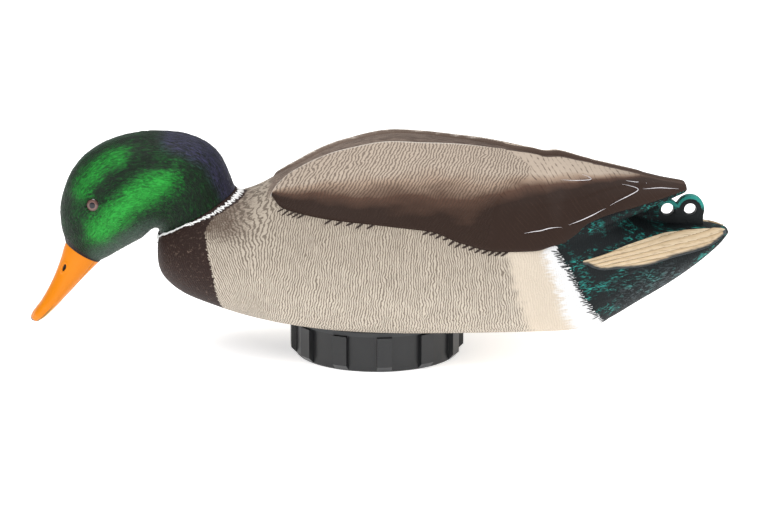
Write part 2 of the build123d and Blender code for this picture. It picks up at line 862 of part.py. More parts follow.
def section_half(crown, chin):
    return sqrt((crown[0] - chin[0]) ** 2 + (crown[1] - chin[1]) ** 2) / 2


def oval(half_height, half_width):
    """Points of an ellipse, from the crown round."""
    turns = [2 * pi * i / ring_points for i in range(ring_points)]
    return [(half_height * cos(a), half_width * sin(a)) for a in turns]


def face_loft(inset, sections):
    """The face, from the widest part of the head to the root of the bill."""
    with BuildPart() as form:
        for crown, chin, half_width in sections:
            half_height = section_half(crown, chin) - inset
            across = half_width * head_width_scale - inset
            with BuildSketch(section_plane(crown, chin)):
                with BuildLine():
                    Spline(*oval(half_height, across), periodic=True)
                make_face()
        loft()
    return form.part


def neck_loft(inset, collar_lift, sections):
    """The bent neck, from the collar up to the widest part of the head."""
    with BuildPart() as form:
        with BuildSketch(collar_plane.offset(collar_lift)):
            with BuildLine():
                Spline(*oval(collar_radius - inset, collar_radius - inset), periodic=True)
            make_face()
        for crown, chin, half_width in sections:
            half_height = section_half(crown, chin) - inset
            across = half_width * head_width_scale - inset
            with BuildSketch(section_plane(crown, chin)):
                with BuildLine():
                    Spline(*oval(half_height, across), periodic=True)
                make_face()
        loft()
    return form.part


bill_plane = section_plane(head_sections[-1][0], head_sections[-1][1])
eye_centre = Vector(drawn_eye_x, 0, drawn_eye_z) + head_shift
eye_surface = drawn_eye_across * head_width_scale

with BuildPart() as head_hollow:
    add(neck_loft(head_wall, collar_gap + collar_floor, head_sections[:neck_sections]))
    add(face_loft(head_wall, head_sections[neck_sections - 1 : -1]))

with BuildPart() as head_shell:
    add(neck_loft(0, collar_gap, head_sections[:neck_sections]))
    add(face_loft(0, head_sections[neck_sections - 1 :]))
    add(head_hollow.part, mode=Mode.SUBTRACT)
    with BuildSketch(collar_plane.offset(collar_gap - overcut)):
        Circle(pivot_bore_radius)
    extrude(amount=collar_floor + 2 * overcut, mode=Mode.SUBTRACT)
    with BuildSketch(bill_plane.offset(-bill_plug_length)):
        Circle(bill_plug_radius)
    extrude(amount=2 * bill_plug_length, mode=Mode.SUBTRACT)
    for side in (-1, 1):
        with BuildSketch(Plane.XZ.offset(-side * (eye_surface - eye_seat))):
            with Locations((eye_centre.X, eye_centre.Z)):
                Circle(eye_radius)
        extrude(amount=-side * eye_socket_depth, mode=Mode.SUBTRACT)


def eye(side):
    """A domed eye that sits in its round socket."""
    with BuildPart() as button:
        with BuildSketch(Plane.XZ.offset(-side * (eye_surface - eye_seat))):
            with Locations((eye_centre.X, eye_centre.Z)):
                Circle(eye_radius)
        extrude(amount=-side * (eye_seat + eye_dome))
        rim = button.faces().sort_by(Axis.Y)[-1 if side > 0 else 0]
        chamfer(rim.edges(), length=eye_bevel, length2=eye_dome + eye_seat / 5)
    return button


left_eye = eye(-1)
right_eye = eye(1)

# ---------------------------------------------------------------- bill
# Sections down the bill: share of its length, half thickness, half width, and how far the middle drifts.
bill_sections = [
    (0.22, 10.8, 11.6, -0.6),
    (0.5, 7.6, 11.4, -0.8),
    (0.78, 5.4, 12.3, 0.2),
    (0.93, 4.3, 11.0, 1.6),
    (1.0, 2.4, 6.5, 2.2),
]
bill_width_scale = bill_half_width / drawn_bill_half_width
bill_root = bill_plane.origin
bill_root_half = section_half(head_sections[-1][0], head_sections[-1][1]) - bill_seam
bill_axis = Vector(-cos(radians(bill_droop)), 0, -sin(radians(bill_droop)))
bill_up = Vector(-sin(radians(bill_droop)), 0, cos(radians(bill_droop)))

with BuildPart() as bill:
    with BuildSketch(bill_plane):
        with BuildLine():
            Spline(*oval(bill_root_half, bill_half_width), periodic=True)
        make_face()
    for share, half_thick, half_width, drift in bill_sections:
        centre = bill_root + bill_axis * (share * bill_length) + bill_up * drift
        with BuildSketch(Plane(origin=centre, x_dir=bill_up, z_dir=bill_up.cross(Vector(0, 1, 0)))):
            with BuildLine():
                Spline(*oval(half_thick, half_width * bill_width_scale), periodic=True)
            make_face()
    loft()
    with BuildSketch(bill_plane.offset(-bill_plug_length)):
        Circle(bill_plug_radius)
    extrude(amount=bill_plug_length)

# ---------------------------------------------------------------- neck pivot
pivot_radius = pivot_bore_radius - pivot_fit
floor_top = collar_gap + collar_floor
washer_top = -collar_floor - washer_gap
ring_top = washer_top - washer_thickness
pivot_foot = ring_top - ring_thickness - pivot_lip

with BuildPart() as neck_pivot:
    with BuildSketch(collar_plane.offset(pivot_foot)):
        Circle(pivot_radius)
    extrude(amount=floor_top - pivot_foot)
    with BuildSketch(collar_plane.offset(floor_top)):
        Circle(pivot_bore_radius + pivot_flange)
    extrude(amount=pivot_flange_thickness)
    with BuildSketch(collar_plane.offset(ring_top - ring_thickness)):
        Circle(pivot_radius)
        Circle(pivot_radius - pivot_groove_depth, mode=Mode.SUBTRACT)
    extrude(amount=ring_thickness, mode=Mode.SUBTRACT)
    with BuildSketch(collar_plane.offset(pivot_foot)):
        Circle(pivot_radius - pivot_wall)
    extrude(amount=floor_top - pivot_foot + pivot_flange_thickness, mode=Mode.SUBTRACT)

with BuildPart() as neck_retaining_ring:
    with BuildSketch(collar_plane.offset(ring_top - ring_thickness)):
        Circle(pivot_radius + ring_width)
        Circle(pivot_radius - pivot_groove_depth, mode=Mode.SUBTRACT)
        with Locations((pivot_radius + ring_width / 2, 0)):
            Rectangle(ring_slot, ring_width, mode=Mode.SUBTRACT)
    extrude(amount=ring_thickness)

with BuildPart() as neck_washer:
    with BuildSketch(collar_plane.offset(ring_top)):
        Circle(pivot_radius + ring_width + washer_reach)
        Circle(pivot_radius, mode=Mode.SUBTRACT)
    extrude(amount=washer_thickness)

# ================================================================ write every piece
pieces = {
    "body_shell": body_shell,
    "tail_curls": tail_curls,
    "battery_well": battery_well,
    "well_gasket": well_gasket,
    "well_screws": well_screws,
    "base_cap": base_cap,
    "cap_seal": cap_seal,
    "motor_tray": motor_tray,
    "tray_cover": tray_cover,
    "cover_screws": cover_screws,
    "battery_cells": battery_cells,
    "lower_contacts": lower_contacts,
    "upper_contacts": upper_contacts,
    "motor_can": motor_can,
    "motor_end_cap": motor_end_cap,
    "motor_screws": motor_screws,
    "motor_shaft": motor_shaft,
    "motor_rotor": motor_rotor,
    "eccentric_weight": eccentric_weight,
    "weight_screw": weight_screw,
    "switch_housing": switch_housing,
    "switch_rocker": switch_rocker,
    "red_lead": red_lead,
    "black_lead": black_lead,
    "head_shell": head_shell,
    "bill": bill,
    "left_eye": left_eye,
    "right_eye": right_eye,
    "neck_pivot": neck_pivot,
    "neck_retaining_ring": neck_retaining_ring,
    "neck_washer": neck_washer,
}
for name, piece in pieces.items():
    piece.part.label = name
    export_step(piece.part, f"parts/{name}.step")
    print(name, "solids", len(piece.part.solids()), "volume", round(piece.part.volume))
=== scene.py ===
# %% [markdown]
# # A floating duck decoy
#
# The real thing is two blow-moulded polyethylene shells, a body and a head, painted by hand with matt
# decoy paint. A sealed can with a battery shaker hangs in the belly behind a black screw cap. The packed
# CAD model already holds every working part in its true place. This lesson gives the decoy its skin: the
# carved feather relief, the folded wings, the tail, the bill, the eyes and the paint.
# First the frame is loaded. The finished skin may not outgrow it.

# %% Load the frame
import json
from math import cos, pi, radians, sin

import bmesh
import bpy
import numpy as np
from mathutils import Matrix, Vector
from mathutils.bvhtree import BVHTree


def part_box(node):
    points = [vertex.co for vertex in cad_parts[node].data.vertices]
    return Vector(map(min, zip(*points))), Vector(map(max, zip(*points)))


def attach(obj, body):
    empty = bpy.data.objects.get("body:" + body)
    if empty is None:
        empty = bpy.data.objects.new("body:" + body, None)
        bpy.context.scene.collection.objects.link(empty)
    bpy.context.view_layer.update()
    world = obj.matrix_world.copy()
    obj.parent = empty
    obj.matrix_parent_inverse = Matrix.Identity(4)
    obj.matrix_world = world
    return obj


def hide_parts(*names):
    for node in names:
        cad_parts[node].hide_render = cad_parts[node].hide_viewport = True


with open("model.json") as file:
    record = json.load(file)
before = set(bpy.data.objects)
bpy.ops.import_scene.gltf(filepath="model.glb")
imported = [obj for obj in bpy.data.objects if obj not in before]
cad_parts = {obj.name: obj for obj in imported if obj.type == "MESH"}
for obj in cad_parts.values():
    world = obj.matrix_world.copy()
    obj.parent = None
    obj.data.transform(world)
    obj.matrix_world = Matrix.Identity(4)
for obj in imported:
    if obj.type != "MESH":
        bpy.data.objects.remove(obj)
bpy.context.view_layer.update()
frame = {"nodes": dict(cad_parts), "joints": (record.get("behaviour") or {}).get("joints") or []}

MM = 0.001

# %% [markdown]
# ## Camera, lights and floor
#
# A decoy is looked at from a little above its side, as it would be across the water. A long lens keeps the
# body's outline true. The studio is white: one large soft key from the bill's side, a softer fill from the
# tail's side, a wide top light, and a pale floor that throws light back up under the breast. One light
# could do it, but then the carved feathers on the shaded side would vanish.

# %% Camera and studio
scene = bpy.context.scene
scene.view_settings.view_transform = "Standard"
look_at = Vector((0.0022, 0, 0.072))
look_down = radians(14)
camera = bpy.data.objects.new("camera", bpy.data.cameras.new("camera"))
camera.location = look_at + 1.9 * Vector((0, -cos(look_down), sin(look_down)))
camera.rotation_euler = (look_at - camera.location).to_track_quat("-Z", "Y").to_euler()
camera.data.sensor_width = 36
camera.data.lens = 125
scene.collection.objects.link(camera)
scene.camera = camera


def softbox(name, place, size, watts):
    """A square light that faces the decoy."""
    lamp = bpy.data.lights.new(name, "AREA")
    lamp.size, lamp.energy = size, watts
    lamp_object = bpy.data.objects.new(name, lamp)
    lamp_object.location = place
    lamp_object.rotation_euler = (look_at - Vector(place)).to_track_quat("-Z", "Y").to_euler()
    scene.collection.objects.link(lamp_object)


softbox("key", (-0.9, -1.2, 1.5), 0.8, 20)
softbox("fill", (1.4, -1.1, 0.9), 1.0, 8)
softbox("top", (0.1, 0.5, 1.8), 1.4, 15)
world = bpy.data.worlds.new("white_studio")
world.use_nodes = True
world.node_tree.nodes["Background"].inputs["Color"].default_value = (1, 1, 1, 1)
world.node_tree.nodes["Background"].inputs["Strength"].default_value = 0.42
scene.world = world
print("camera", [round(v, 3) for v in camera.location], "lights", 3)

# %% [markdown]
# ## Helpers for forms
#
# The decoy was drawn as cross-sections in millimetres, front to back. A curve that never overshoots its
# points carries each measure from section to section. Value noise, the same on every run, carves the
# feather strokes. Forms are worked out in millimetres and turned to metres when the mesh is made.


# %% Curves, noise and distances
def smooth(low, high, x):
    t = np.clip((np.asarray(x, float) - low) / (high - low), 0, 1)
    return t * t * (3 - 2 * t)


def curve_through(places, values, loose=False):
    """A curve through points; its slopes are damped so that it can't overshoot, unless it is loose."""
    x, y = np.asarray(places, float), np.asarray(values, float)
    step = np.diff(x)
    rise = np.diff(y) / step
    slope = np.gradient(y, x)
    if not loose:
        before, after = rise[:-1], rise[1:]
        same = before * after > 0
        product = np.where(same, before * after, 1)
        total = np.where(same, before + after, 1)
        slope[1:-1] = np.where(same, 2 * product / total, 0)

    def at(q):
        q = np.clip(q, x[0], x[-1])
        i = np.clip(np.searchsorted(x, q) - 1, 0, len(x) - 2)
        s = (q - x[i]) / step[i]
        ends = (1 + 2 * s) * (1 - s) ** 2 * y[i] + s * s * (3 - 2 * s) * y[i + 1]
        return ends + s * (1 - s) * step[i] * ((1 - s) * slope[i] - s * slope[i + 1])

    return at


def grain(points, seed=0):
    """Smooth value noise from -1 to 1; one cell of it is one unit of the points."""
    points = np.asarray(points, float)
    cell = np.floor(points).astype(np.int64)
    share = points - cell
    share = share * share * (3 - 2 * share)
    total = 0
    for corner in np.ndindex(2, 2, 2):
        at = cell + np.array(corner)
        h = (at[..., 0] * 374761393 + at[..., 1] * 668265263 + at[...,
                2] * 1440662683 + seed * 974634777) & 0xFFFFFFFF
        h = ((h ^ (h >> 13)) * 1274126177) & 0xFFFFFFFF
        weight = np.prod(np.where(np.array(corner) == 1, share, 1 - share), axis=-1)
        total = total + weight * (((h ^ (h >> 16)) & 0xFFFF) / 32767.5 - 1)
    return total


def away_from(points, line):
    """Distance of flat points from a bent line."""
    best = np.full(points.shape[:-1], 1e9)
    for start, end in zip(line[:-1], line[1:]):
        start, run = np.array(start, float), np.subtract(end, start)
        share = np.clip((points - start) @ run / (run @ run), 0, 1)
        best = np.minimum(best, np.linalg.norm(points - start - share[..., None] * run, axis=-1))
    return best


def normals_of(grid, wrap):
    """Unit normals of a grid of points; the second direction closes on itself if it wraps."""
    along = np.gradient(grid, axis=0)
    if wrap:
        across = np.roll(grid, -1, 1) - np.roll(grid, 1, 1)
    else:
        across = np.gradient(grid, axis=1)
    normal = np.cross(across, along)
    return normal / np.maximum(np.linalg.norm(normal, axis=-1, keepdims=True), 1e-9)


print("noise check", round(float(grain(np.array([0.5, 1.5, 2.5]))), 4))


# %% [markdown]
# A piece becomes a mesh in one of three ways: a closed tube from a grid that wraps round, a plate from an
# outer and an inner grid with a wall between them, or a mesh that a modifier made. Each vertex also carries
# numbers for the paint, such as its distance in millimetres from the edge of a colour.


# %% Mesh makers
def piece_from(name, points_mm, faces, body):
    mesh = bpy.data.meshes.new(name)
    mesh.from_pydata((np.asarray(points_mm) * MM).tolist(), [], faces)
    cleaner = bmesh.new()
    cleaner.from_mesh(mesh)
    bmesh.ops.recalc_face_normals(cleaner, faces=cleaner.faces)
    cleaner.to_mesh(mesh)
    cleaner.free()
    mesh.shade_smooth()
    made = bpy.data.objects.new(name, mesh)
    scene.collection.objects.link(made)
    made["rides"] = body
    return made


def tube_faces(rows, columns):
    faces = []
    for r in range(rows - 1):
        for c in range(columns):
            d = (c + 1) % columns
            faces.append((r * columns + c, r * columns + d, (r + 1) * columns + d, (r + 1) * columns + c))
    faces.append(tuple(range(columns)))
    faces.append(tuple((rows - 1) * columns + c for c in reversed(range(columns))))
    return faces


def plate(name, outer, inner, body):
    """A closed plate between two grids of the same size."""
    rows, columns = outer.shape[:2]
    size = rows * columns
    faces = []
    for r in range(rows - 1):
        for c in range(columns - 1):
            quad = [r * columns + c, r * columns + c + 1, (r + 1) * columns + c + 1, (r + 1) * columns + c]
            faces.append(tuple(quad))
            faces.append(tuple(size + k for k in reversed(quad)))
    rim = [(0, c) for c in range(columns)] + [(r, columns - 1) for r in range(1, rows)]
    rim += [(rows - 1, c) for c in range(columns - 2, -1, -1)] + [(r, 0) for r in range(rows - 2, 0, -1)]
    ring = [r * columns + c for r, c in rim]
    for a, b in zip(ring, ring[1:] + ring[:1]):
        faces.append((a, b, size + b, size + a))
    points = np.concatenate([outer.reshape(-1, 3), inner.reshape(-1, 3)])
    return piece_from(name, points, faces, body)


def places_of(piece):
    """Vertex places in millimetres."""
    points = np.empty(len(piece.data.vertices) * 3)
    piece.data.vertices.foreach_get("co", points)
    return points.reshape(-1, 3) / MM


def note(piece, name, values):
    """Keep one number for each vertex, for the paint to read."""
    attribute = piece.data.attributes.new(name, "FLOAT", "POINT")
    attribute.data.foreach_set("value", np.asarray(values, np.float32))


def settle(piece, modifier_type, **settings):
    """Apply one modifier and keep the plain mesh."""
    modifier = piece.modifiers.new(modifier_type, modifier_type)
    for key, value in settings.items():
        setattr(modifier, key, value)
    graph = bpy.context.evaluated_depsgraph_get()
    mesh = bpy.data.meshes.new_from_object(piece.evaluated_get(graph))
    piece.modifiers.clear()
    piece.data = mesh
    return piece


def finish_piece(piece, paint, slot, *replaced):
    piece.data.materials.clear()
    piece.data.materials.append(paint)
    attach(piece, piece["rides"])
    if replaced:
        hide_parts(*replaced)
    print(piece.name, "faces", len(piece.data.polygons))


# %% [markdown]
# ## The carved forms
#
# The stations say how high the back, the widest line and the belly are, how wide the body is, and how
# square its underside is. The wings carry on over the rump as a second, pointed mass. The head is drawn as
# cuts across it, from the collar round to the root of the bill, each with its crown and its chin.

# %% Stations of body, wings and head
hull_stations = [
    (-158, 76, 72, 68, 8, 2.0),
    (-156, 91, 74, 60, 24, 2.0),
    (-150, 100, 75, 53.5, 38, 2.0),
    (-138, 106, 76, 46, 52, 2.1),
    (-118, 111, 78, 39.5, 66, 2.3),
    (-92, 117, 80, 33, 77, 2.6),
    (-60, 134, 81, 28, 85, 2.9),
    (-23, 151, 82, 25, 89, 3.2),
    (15, 158, 83, 24, 90, 3.4),
    (60, 154, 83, 24, 88.5, 3.4),
    (100, 147, 82, 24, 84, 3.4),
    (130, 138.5, 81, 23.5, 75, 3.4),
    (150, 124, 80, 23.5, 66, 3.2),
    (166, 113, 79, 29, 58, 2.8),
    (185, 101.5, 78.5, 39, 51, 2.4),
    (205, 95.5, 79, 50, 44, 2.1),
    (228, 94.5, 82, 66, 33, 2.0),
    (243, 93, 85, 79, 21, 2.0),
    (252, 91, 89, 87.5, 8, 2.0),
]
wing_stations = [
    (100, 141, 100, 92, 66, 2.0),
    (125, 142.8, 98, 90, 73.5, 2.0),
    (150, 137, 103, 95, 61, 2.0),
    (166, 133.5, 107.5, 101, 50.5, 2.0),
    (188, 128.5, 112, 107.5, 36, 2.0),
    (205, 124.5, 116, 113, 22.5, 2.0),
    (221, 122.5, 120, 117.2, 8, 2.0),
]
head_cuts = [
    ((-101.1, 119.9), (-155.9, 88.0), 31.8),
    ((-113.2, 146.0), (-157.4, 91.4), 33.0),
    ((-133.0, 158.5), (-161.5, 90.5), 34.0),
    ((-160.0, 161.5), (-168.0, 84.5), 33.0),
    ((-186.0, 157.0), (-176.5, 79.5), 31.5),
    ((-206.6, 146.0), (-184.5, 75.0), 29.5),
    ((-219.0, 131.0), (-191.0, 71.2), 26.5),
    ((-226.0, 112.0), (-196.0, 68.5), 22.0),
    ((-226.8, 96.0), (-198.5, 67.2), 17.5),
    ((-224.0, 81.5), (-199.6, 66.0), 13.0),
]


def lines_of(stations):
    table = np.array(stations, float)
    return [curve_through(table[:, 0], table[:, k]) for k in range(1, 6)]


hull_lines = lines_of(hull_stations)
wing_lines = lines_of(wing_stations)


def section(measures, turn):
    """Across and up for a turn from the back (0) round the side to the belly (pi)."""
    top, wide, bottom, half, square = measures
    c, s = np.cos(turn), np.sin(turn)
    power = np.where(c >= 0, 1.0, 2.0 / square)
    up = np.abs(c) ** power
    height = np.where(c >= 0, wide + (top - wide) * up, wide - (wide - bottom) * up)
    return half * np.sign(s) * np.abs(s) ** power, height


def closed_form(name, lines, first, last, rows, columns):
    x = np.linspace(first, last, rows)[:, None]
    across, height = section([line(x) for line in lines], np.linspace(0, 2 * pi, columns, endpoint=False))
    points = np.stack([np.broadcast_to(x, across.shape), across, height], -1)
    return piece_from(name, points.reshape(-1, 3), tube_faces(rows, columns), "decoy_body")


neck_joint = next(j for j in frame["joints"] if j["name"] == "head_swivel")
collar_up = np.array(neck_joint["axis"], float) / np.linalg.norm(neck_joint["axis"])
collar_middle = np.array(neck_joint["pos_m"]) / MM
collar_along = np.array([collar_up[2], 0, -collar_up[0]])
collar_radius = 31.8
print("collar at", collar_middle.round(1), "leaning", collar_up.round(3))


# %% [markdown]
# ## The body
#
# A blow-moulded body is one skin with no edge between hull, wings and neck, only soft folds. The three
# forms could be joined by boolean cuts, but that leaves hard creases. A voxel remesh melts them together
# like blown plastic, and some rounds of averaging relax the fold round the neck. Then real edges are cut:
# the flat collar that the head turns on, its bore, and the stepped pocket for the battery can.


# %% Body form
def round_cutter(name, middle, up, steps, around=128):
    """A stepped round tool: steps are (radius, height along up) from the outside in."""
    up = np.array(up, float)
    side = np.array([0.0, 1.0, 0.0])
    ahead = np.cross(side, up)
    turn = np.linspace(0, 2 * pi, around, endpoint=False)[:, None]
    rings = [np.array(middle) + up * h + r * (ahead * np.cos(turn) + side * np.sin(turn)) for r, h in steps]
    return piece_from(name, np.concatenate(rings), tube_faces(len(steps), around), "decoy_body")


def cut(piece, tool):
    settle(piece, "BOOLEAN", operation="DIFFERENCE", object=tool, solver="EXACT")
    bpy.data.objects.remove(tool)


def relax(piece, weights, rounds):
    """Move each vertex towards the middle of its neighbours."""
    points = places_of(piece)
    ends = np.empty(2 * len(piece.data.edges), int)
    piece.data.edges.foreach_get("vertices", ends)
    a, b = ends.reshape(-1, 2).T
    count = np.bincount(np.concatenate([a, b]), minlength=len(points))[:, None]
    for _ in range(rounds):
        total = np.stack([np.bincount(a, points[b, k], len(points)) + np.bincount(b, points[a, k],
                len(points)) for k in range(3)], -1)
        points = points + weights[:, None] * (total / np.maximum(count, 1) - points)
    piece.data.vertices.foreach_set("co", (points * MM).ravel())
    piece.data.update()


def melt(name, parts, voxel):
    """Join closed forms and remesh them as one skin."""
    gather = bmesh.new()
    for part in parts:
        gather.from_mesh(part.data)
        if part is not parts[0]:
            bpy.data.objects.remove(part)
    gather.to_mesh(parts[0].data)
    gather.free()
    parts[0].name = name
    return settle(parts[0], "REMESH", mode="VOXEL", voxel_size=voxel * MM)


rump_ridge = [(170, 117, 106, 92, 16, 2), (186, 118, 106, 92, 9, 2), (203, 118, 107, 93, 4.5, 2)]
neck_root = round_cutter("neck_root", collar_middle, collar_up, [(33.8, 7), (31.8, 0), (43.8, -40)])
body_skin = melt("body_skin", [
    closed_form("hull", hull_lines, -158, 252, 220, 200),
    closed_form("wing_mass", wing_lines, 100, 221, 90, 120),
    closed_form("ridge", lines_of(rump_ridge), 170, 203, 16, 40),
    neck_root,
], 1.7)
skin = places_of(body_skin)
above_collar = (skin - collar_middle) @ collar_up
from_axis = np.linalg.norm(np.cross(skin - collar_middle, collar_up), axis=1)
fold = smooth(-2, -9, above_collar) * smooth(-46, -34, above_collar) * smooth(62, 50, from_axis)
relax(body_skin, np.full(len(skin), 0.5), 4)
relax(body_skin, 0.6 * fold, 50)

trimmer = bmesh.new()
trimmer.from_mesh(body_skin.data)
bmesh.ops.bisect_plane(trimmer, geom=trimmer.verts[:] + trimmer.edges[:] + trimmer.faces[:],
                       plane_co=collar_middle * MM, plane_no=collar_up, clear_outer=True)
bmesh.ops.holes_fill(trimmer, edges=[e for e in trimmer.edges if e.is_boundary], sides=0)
trimmer.to_mesh(body_skin.data)
trimmer.free()

cap_low, cap_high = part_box("base_cap")
well_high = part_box("battery_well")[1]
gasket_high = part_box("well_gasket")[1]
pocket = gasket_high.x / MM + 3
can_radius = 51.0 + 0.5
landing = gasket_high.z / MM
cut(body_skin, round_cutter("pocket", (0, 0, 0), (0, 0, 1), [
    (pocket, 5), (pocket, landing), (can_radius, landing), (can_radius, well_high.z / MM + 0.6)]))
cut(body_skin, round_cutter("collar_bore", collar_middle, collar_up, [
    (22.2, 3), (22.2, -4.0), (29.0, -4.0), (29.0, -12.0)]))
body_skin.data.shade_smooth()
body_skin.data.set_sharp_from_angle(angle=radians(50))
body_skin["rides"] = "decoy_body"
print("body skin", len(body_skin.data.polygons), "faces, pocket", round(pocket, 1))

# %% [markdown]
# The paint needs to know where it is. Each vertex keeps its distance in millimetres from each colour's
# edge: the chestnut breast, the white flank patch, the black rump and the strip between the wings. The
# strand number counts millimetres across the fine wavy lines of a drake's flank.

# %% Marks on the body
breast_edge = curve_through([30, 54, 70, 80, 89, 99, 108], [-104, -111.5, -114, -115.5, -118, -120, -114])
rump_edge = curve_through([24, 32, 47, 64, 81, 94, 120], [168, 162, 150.5, 140.5, 132, 124, 118])
white_edge = curve_through([24, 28, 45, 61, 76, 90], [142, 140, 131, 126.5, 120.5, 115.5])
plain_edge = curve_through([30, 39, 60, 79, 92], [108, 105, 98, 92.5, 88])
ridge_across = curve_through(
    [-75, -68, -58, -38, -2, 25, 54, 80, 101, 130, 152, 173, 221],
    [33, 20, 13, 14.5, 18, 19.5, 14.7, 11.3, 6.8, 5.5, 1.6, 0.5, 0.5])


def mark_body(piece):
    x, y, z = places_of(piece).T
    radial = np.linalg.norm(np.cross(places_of(piece) - collar_middle, collar_up), axis=1)
    near_neck = smooth(-66, -112, x)
    note(piece, "breast", np.maximum(breast_edge(z) - x, 37 - radial))
    note(piece, "rump", x - rump_edge(z))
    note(piece, "white", x - white_edge(z))
    note(piece, "plain", x - plain_edge(z))
    note(piece, "back", np.minimum(ridge_across(x) + 2 - np.abs(y), np.minimum((z - 112) / 2, (x + 76) / 2)))
    note(piece, "strand", x + 0.75 * near_neck * (z - 78) + 0.0016 * (x - 40) * (z - 60))
    note(piece, "neck", smooth(-60, -110, x) * smooth(84, 104, z))
    note(piece, "tail_low", smooth(150, 215, x) * smooth(82, 50, z))


mark_body(body_skin)
print("marks", [a.name for a in body_skin.data.attributes if a.data_type == "FLOAT"])

# %% [markdown]
# ## The wings
#
# Each folded wing is a raised plate of feathers on the flank: a crisp ridge beside the back, a rounded
# lower edge, a lobe of finely lined feathers in front and long plain feathers behind. It could be sculpted
# in the body, but then its edge would be as soft as the remesh. As a plate of its own it keeps a crisp edge.

# %% Wing plates
wing_edge = curve_through([-75, -73, -67, -46, -26, -7, 20, 38, 57, 85, 108, 125, 136, 145, 160, 183,
        219], [122.5, 121.7, 118.5, 115.8, 114, 112.6, 110, 107.6, 100.3, 93.7, 93.3, 96.1, 101.5, 107.7,
        112, 115, 120])
lobe_edge = curve_through([0, 0.15, 0.3, 0.42, 0.5, 0.6, 0.75, 1], [88, 98, 107, 104, 96, 84, 80, 76])
long_feather = curve_through([96, 114, 127, 146, 160, 174, 186, 200],
        [105, 107, 108.5, 113, 117.3, 122, 125.2, 127])
short_feather = curve_through([100, 128, 140, 152, 165], [137.5, 136, 134.5, 133.4, 131])
middle_feather = curve_through([90, 110, 140, 165, 190, 214], [119, 119.5, 123, 126, 124.5, 122.5])


def wing_form(x):
    share = smooth(112, 130, x)
    return [(1 - share) * h(x) + share * w(x) for h, w in zip(hull_lines, wing_lines)]


def turn_at(form, height):
    """The turn at which each section passes a height."""
    turns = np.linspace(0, pi, 400)
    found = np.empty(len(height))
    for i in range(len(height)):
        heights = section([f[i] for f in form], turns)[1]
        found[i] = np.interp(height[i], heights[::-1], turns[::-1])
    return found


def round_rim(distance, radius):
    return np.sqrt(np.maximum(1 - (1 - np.clip(distance / radius, 0, 1)) ** 2, 0))


def draped_grid(form_of, x, start_turn, end_turn, columns):
    """A grid on a form between two turns, its arc lengths from both long edges, and its normals."""
    share = np.linspace(0, 1, columns)[None, :]
    turn = start_turn[:, None] + (end_turn - start_turn)[:, None] * share
    across, height = section([f[:, None] for f in form_of], turn)
    grid = np.stack([np.broadcast_to(x[:, None], across.shape), across, height], -1)
    step = np.linalg.norm(np.diff(grid, axis=1), axis=-1)
    run = np.concatenate([np.zeros((len(x), 1)), np.cumsum(step, axis=1)], axis=1)
    normal = np.cross(np.gradient(grid, axis=0), np.gradient(grid, axis=1))
    normal /= np.maximum(np.linalg.norm(normal, axis=-1, keepdims=True), 1e-9)
    return grid, run, run[:, -1:] - run, normal


def wing_grid(columns=78):
    x = np.linspace(-75, 221, 270)
    form = wing_form(x)
    start = np.arcsin(np.clip(ridge_across(x) / form[3], 0, 1))
    end = np.maximum(turn_at(form, wing_edge(x)), start + 0.03)
    return (x[:, None],) + draped_grid(form, x, start, end, columns)


def wing_relief(x, grid, from_ridge, from_edge):
    """How far the feathers stand above the body, in millimetres."""
    share = from_ridge / np.maximum(from_ridge + from_edge, 1e-6)
    height = grid[..., 2]
    base = (0.8 + 1.3 * smooth(-75, -40, x)) * round_rim(from_ridge, 1.8) * round_rim(from_edge,
            1.1) * round_rim(221 - x, 3) * round_rim(x + 75, 4)
    lobe = 0.8 * smooth(-1.6, 0.6, lobe_edge(share) - x) * smooth(0.92, 0.75, share)
    behind = smooth(96, 112, x)
    steps = 0.55 * smooth(-0.7, 0.7, height - long_feather(x)) * behind * smooth(192, 186, x)
    steps = steps + 0.4 * smooth(-0.7, 0.7, height - short_feather(x)) * smooth(100, 122, x) * smooth(155,
            151, x)
    steps = steps + 0.4 * smooth(-0.7, 0.7, height - middle_feather(x)) * behind
    swell = 0.35 * grain(np.stack([x / 26 + 0 * share, share * 4, 0 * share + 3], -1), 5)
    return base + round_rim(from_edge, 5) * round_rim(from_ridge, 5) * (lobe + steps + swell)


def make_wing(name, side):
    x, grid, from_ridge, from_edge, normal = wing_grid()
    relief = wing_relief(x, grid, from_ridge, from_edge)
    mirror = np.array([1, side, 1])
    wing = plate(name, (grid + normal * relief[..., None]) * mirror, (grid - normal * 1.0) * mirror,
            "decoy_body")
    return wing, (x + 0 * relief, grid, from_ridge, from_edge)


brown_start = curve_through([-75, -55, -19, 21, 60, 88, 117, 146, 175, 196, 221],
                            [0.3, 0.5, 0.52, 0.44, 0.4, 0.38, 0.36, 0.36, 0.22, 0, 0])
dark_start = curve_through([-75, -55, -19, 21, 60, 88, 117, 146, 175, 196, 221],
                           [0.6, 0.8, 0.86, 0.87, 0.82, 0.64, 0.55, 0.57, 0.47, 0.2, 0.1])


def mark_wing(wing, facts):
    x, grid, from_ridge, from_edge = facts
    share = from_ridge / np.maximum(from_ridge + from_edge, 1e-6)
    notes = {
        "shade": (share - brown_start(x)) / (dark_start(x) - brown_start(x) + 0.02),
        "lobe": lobe_edge(share) - x,
        "strand": 0.82 * x - 0.6 * grid[..., 2],
        "barb": 0.76 * x + 0.65 * grid[..., 2],
        "from_ridge": from_ridge,
        "strip": 1.5 + 4.5 * smooth(60, 150, x) - from_ridge,
        "tail_end": smooth(150, 215, x),
    }
    for label, values in notes.items():
        note(wing, label, np.concatenate([(values + 0 * share).ravel()] * 2))


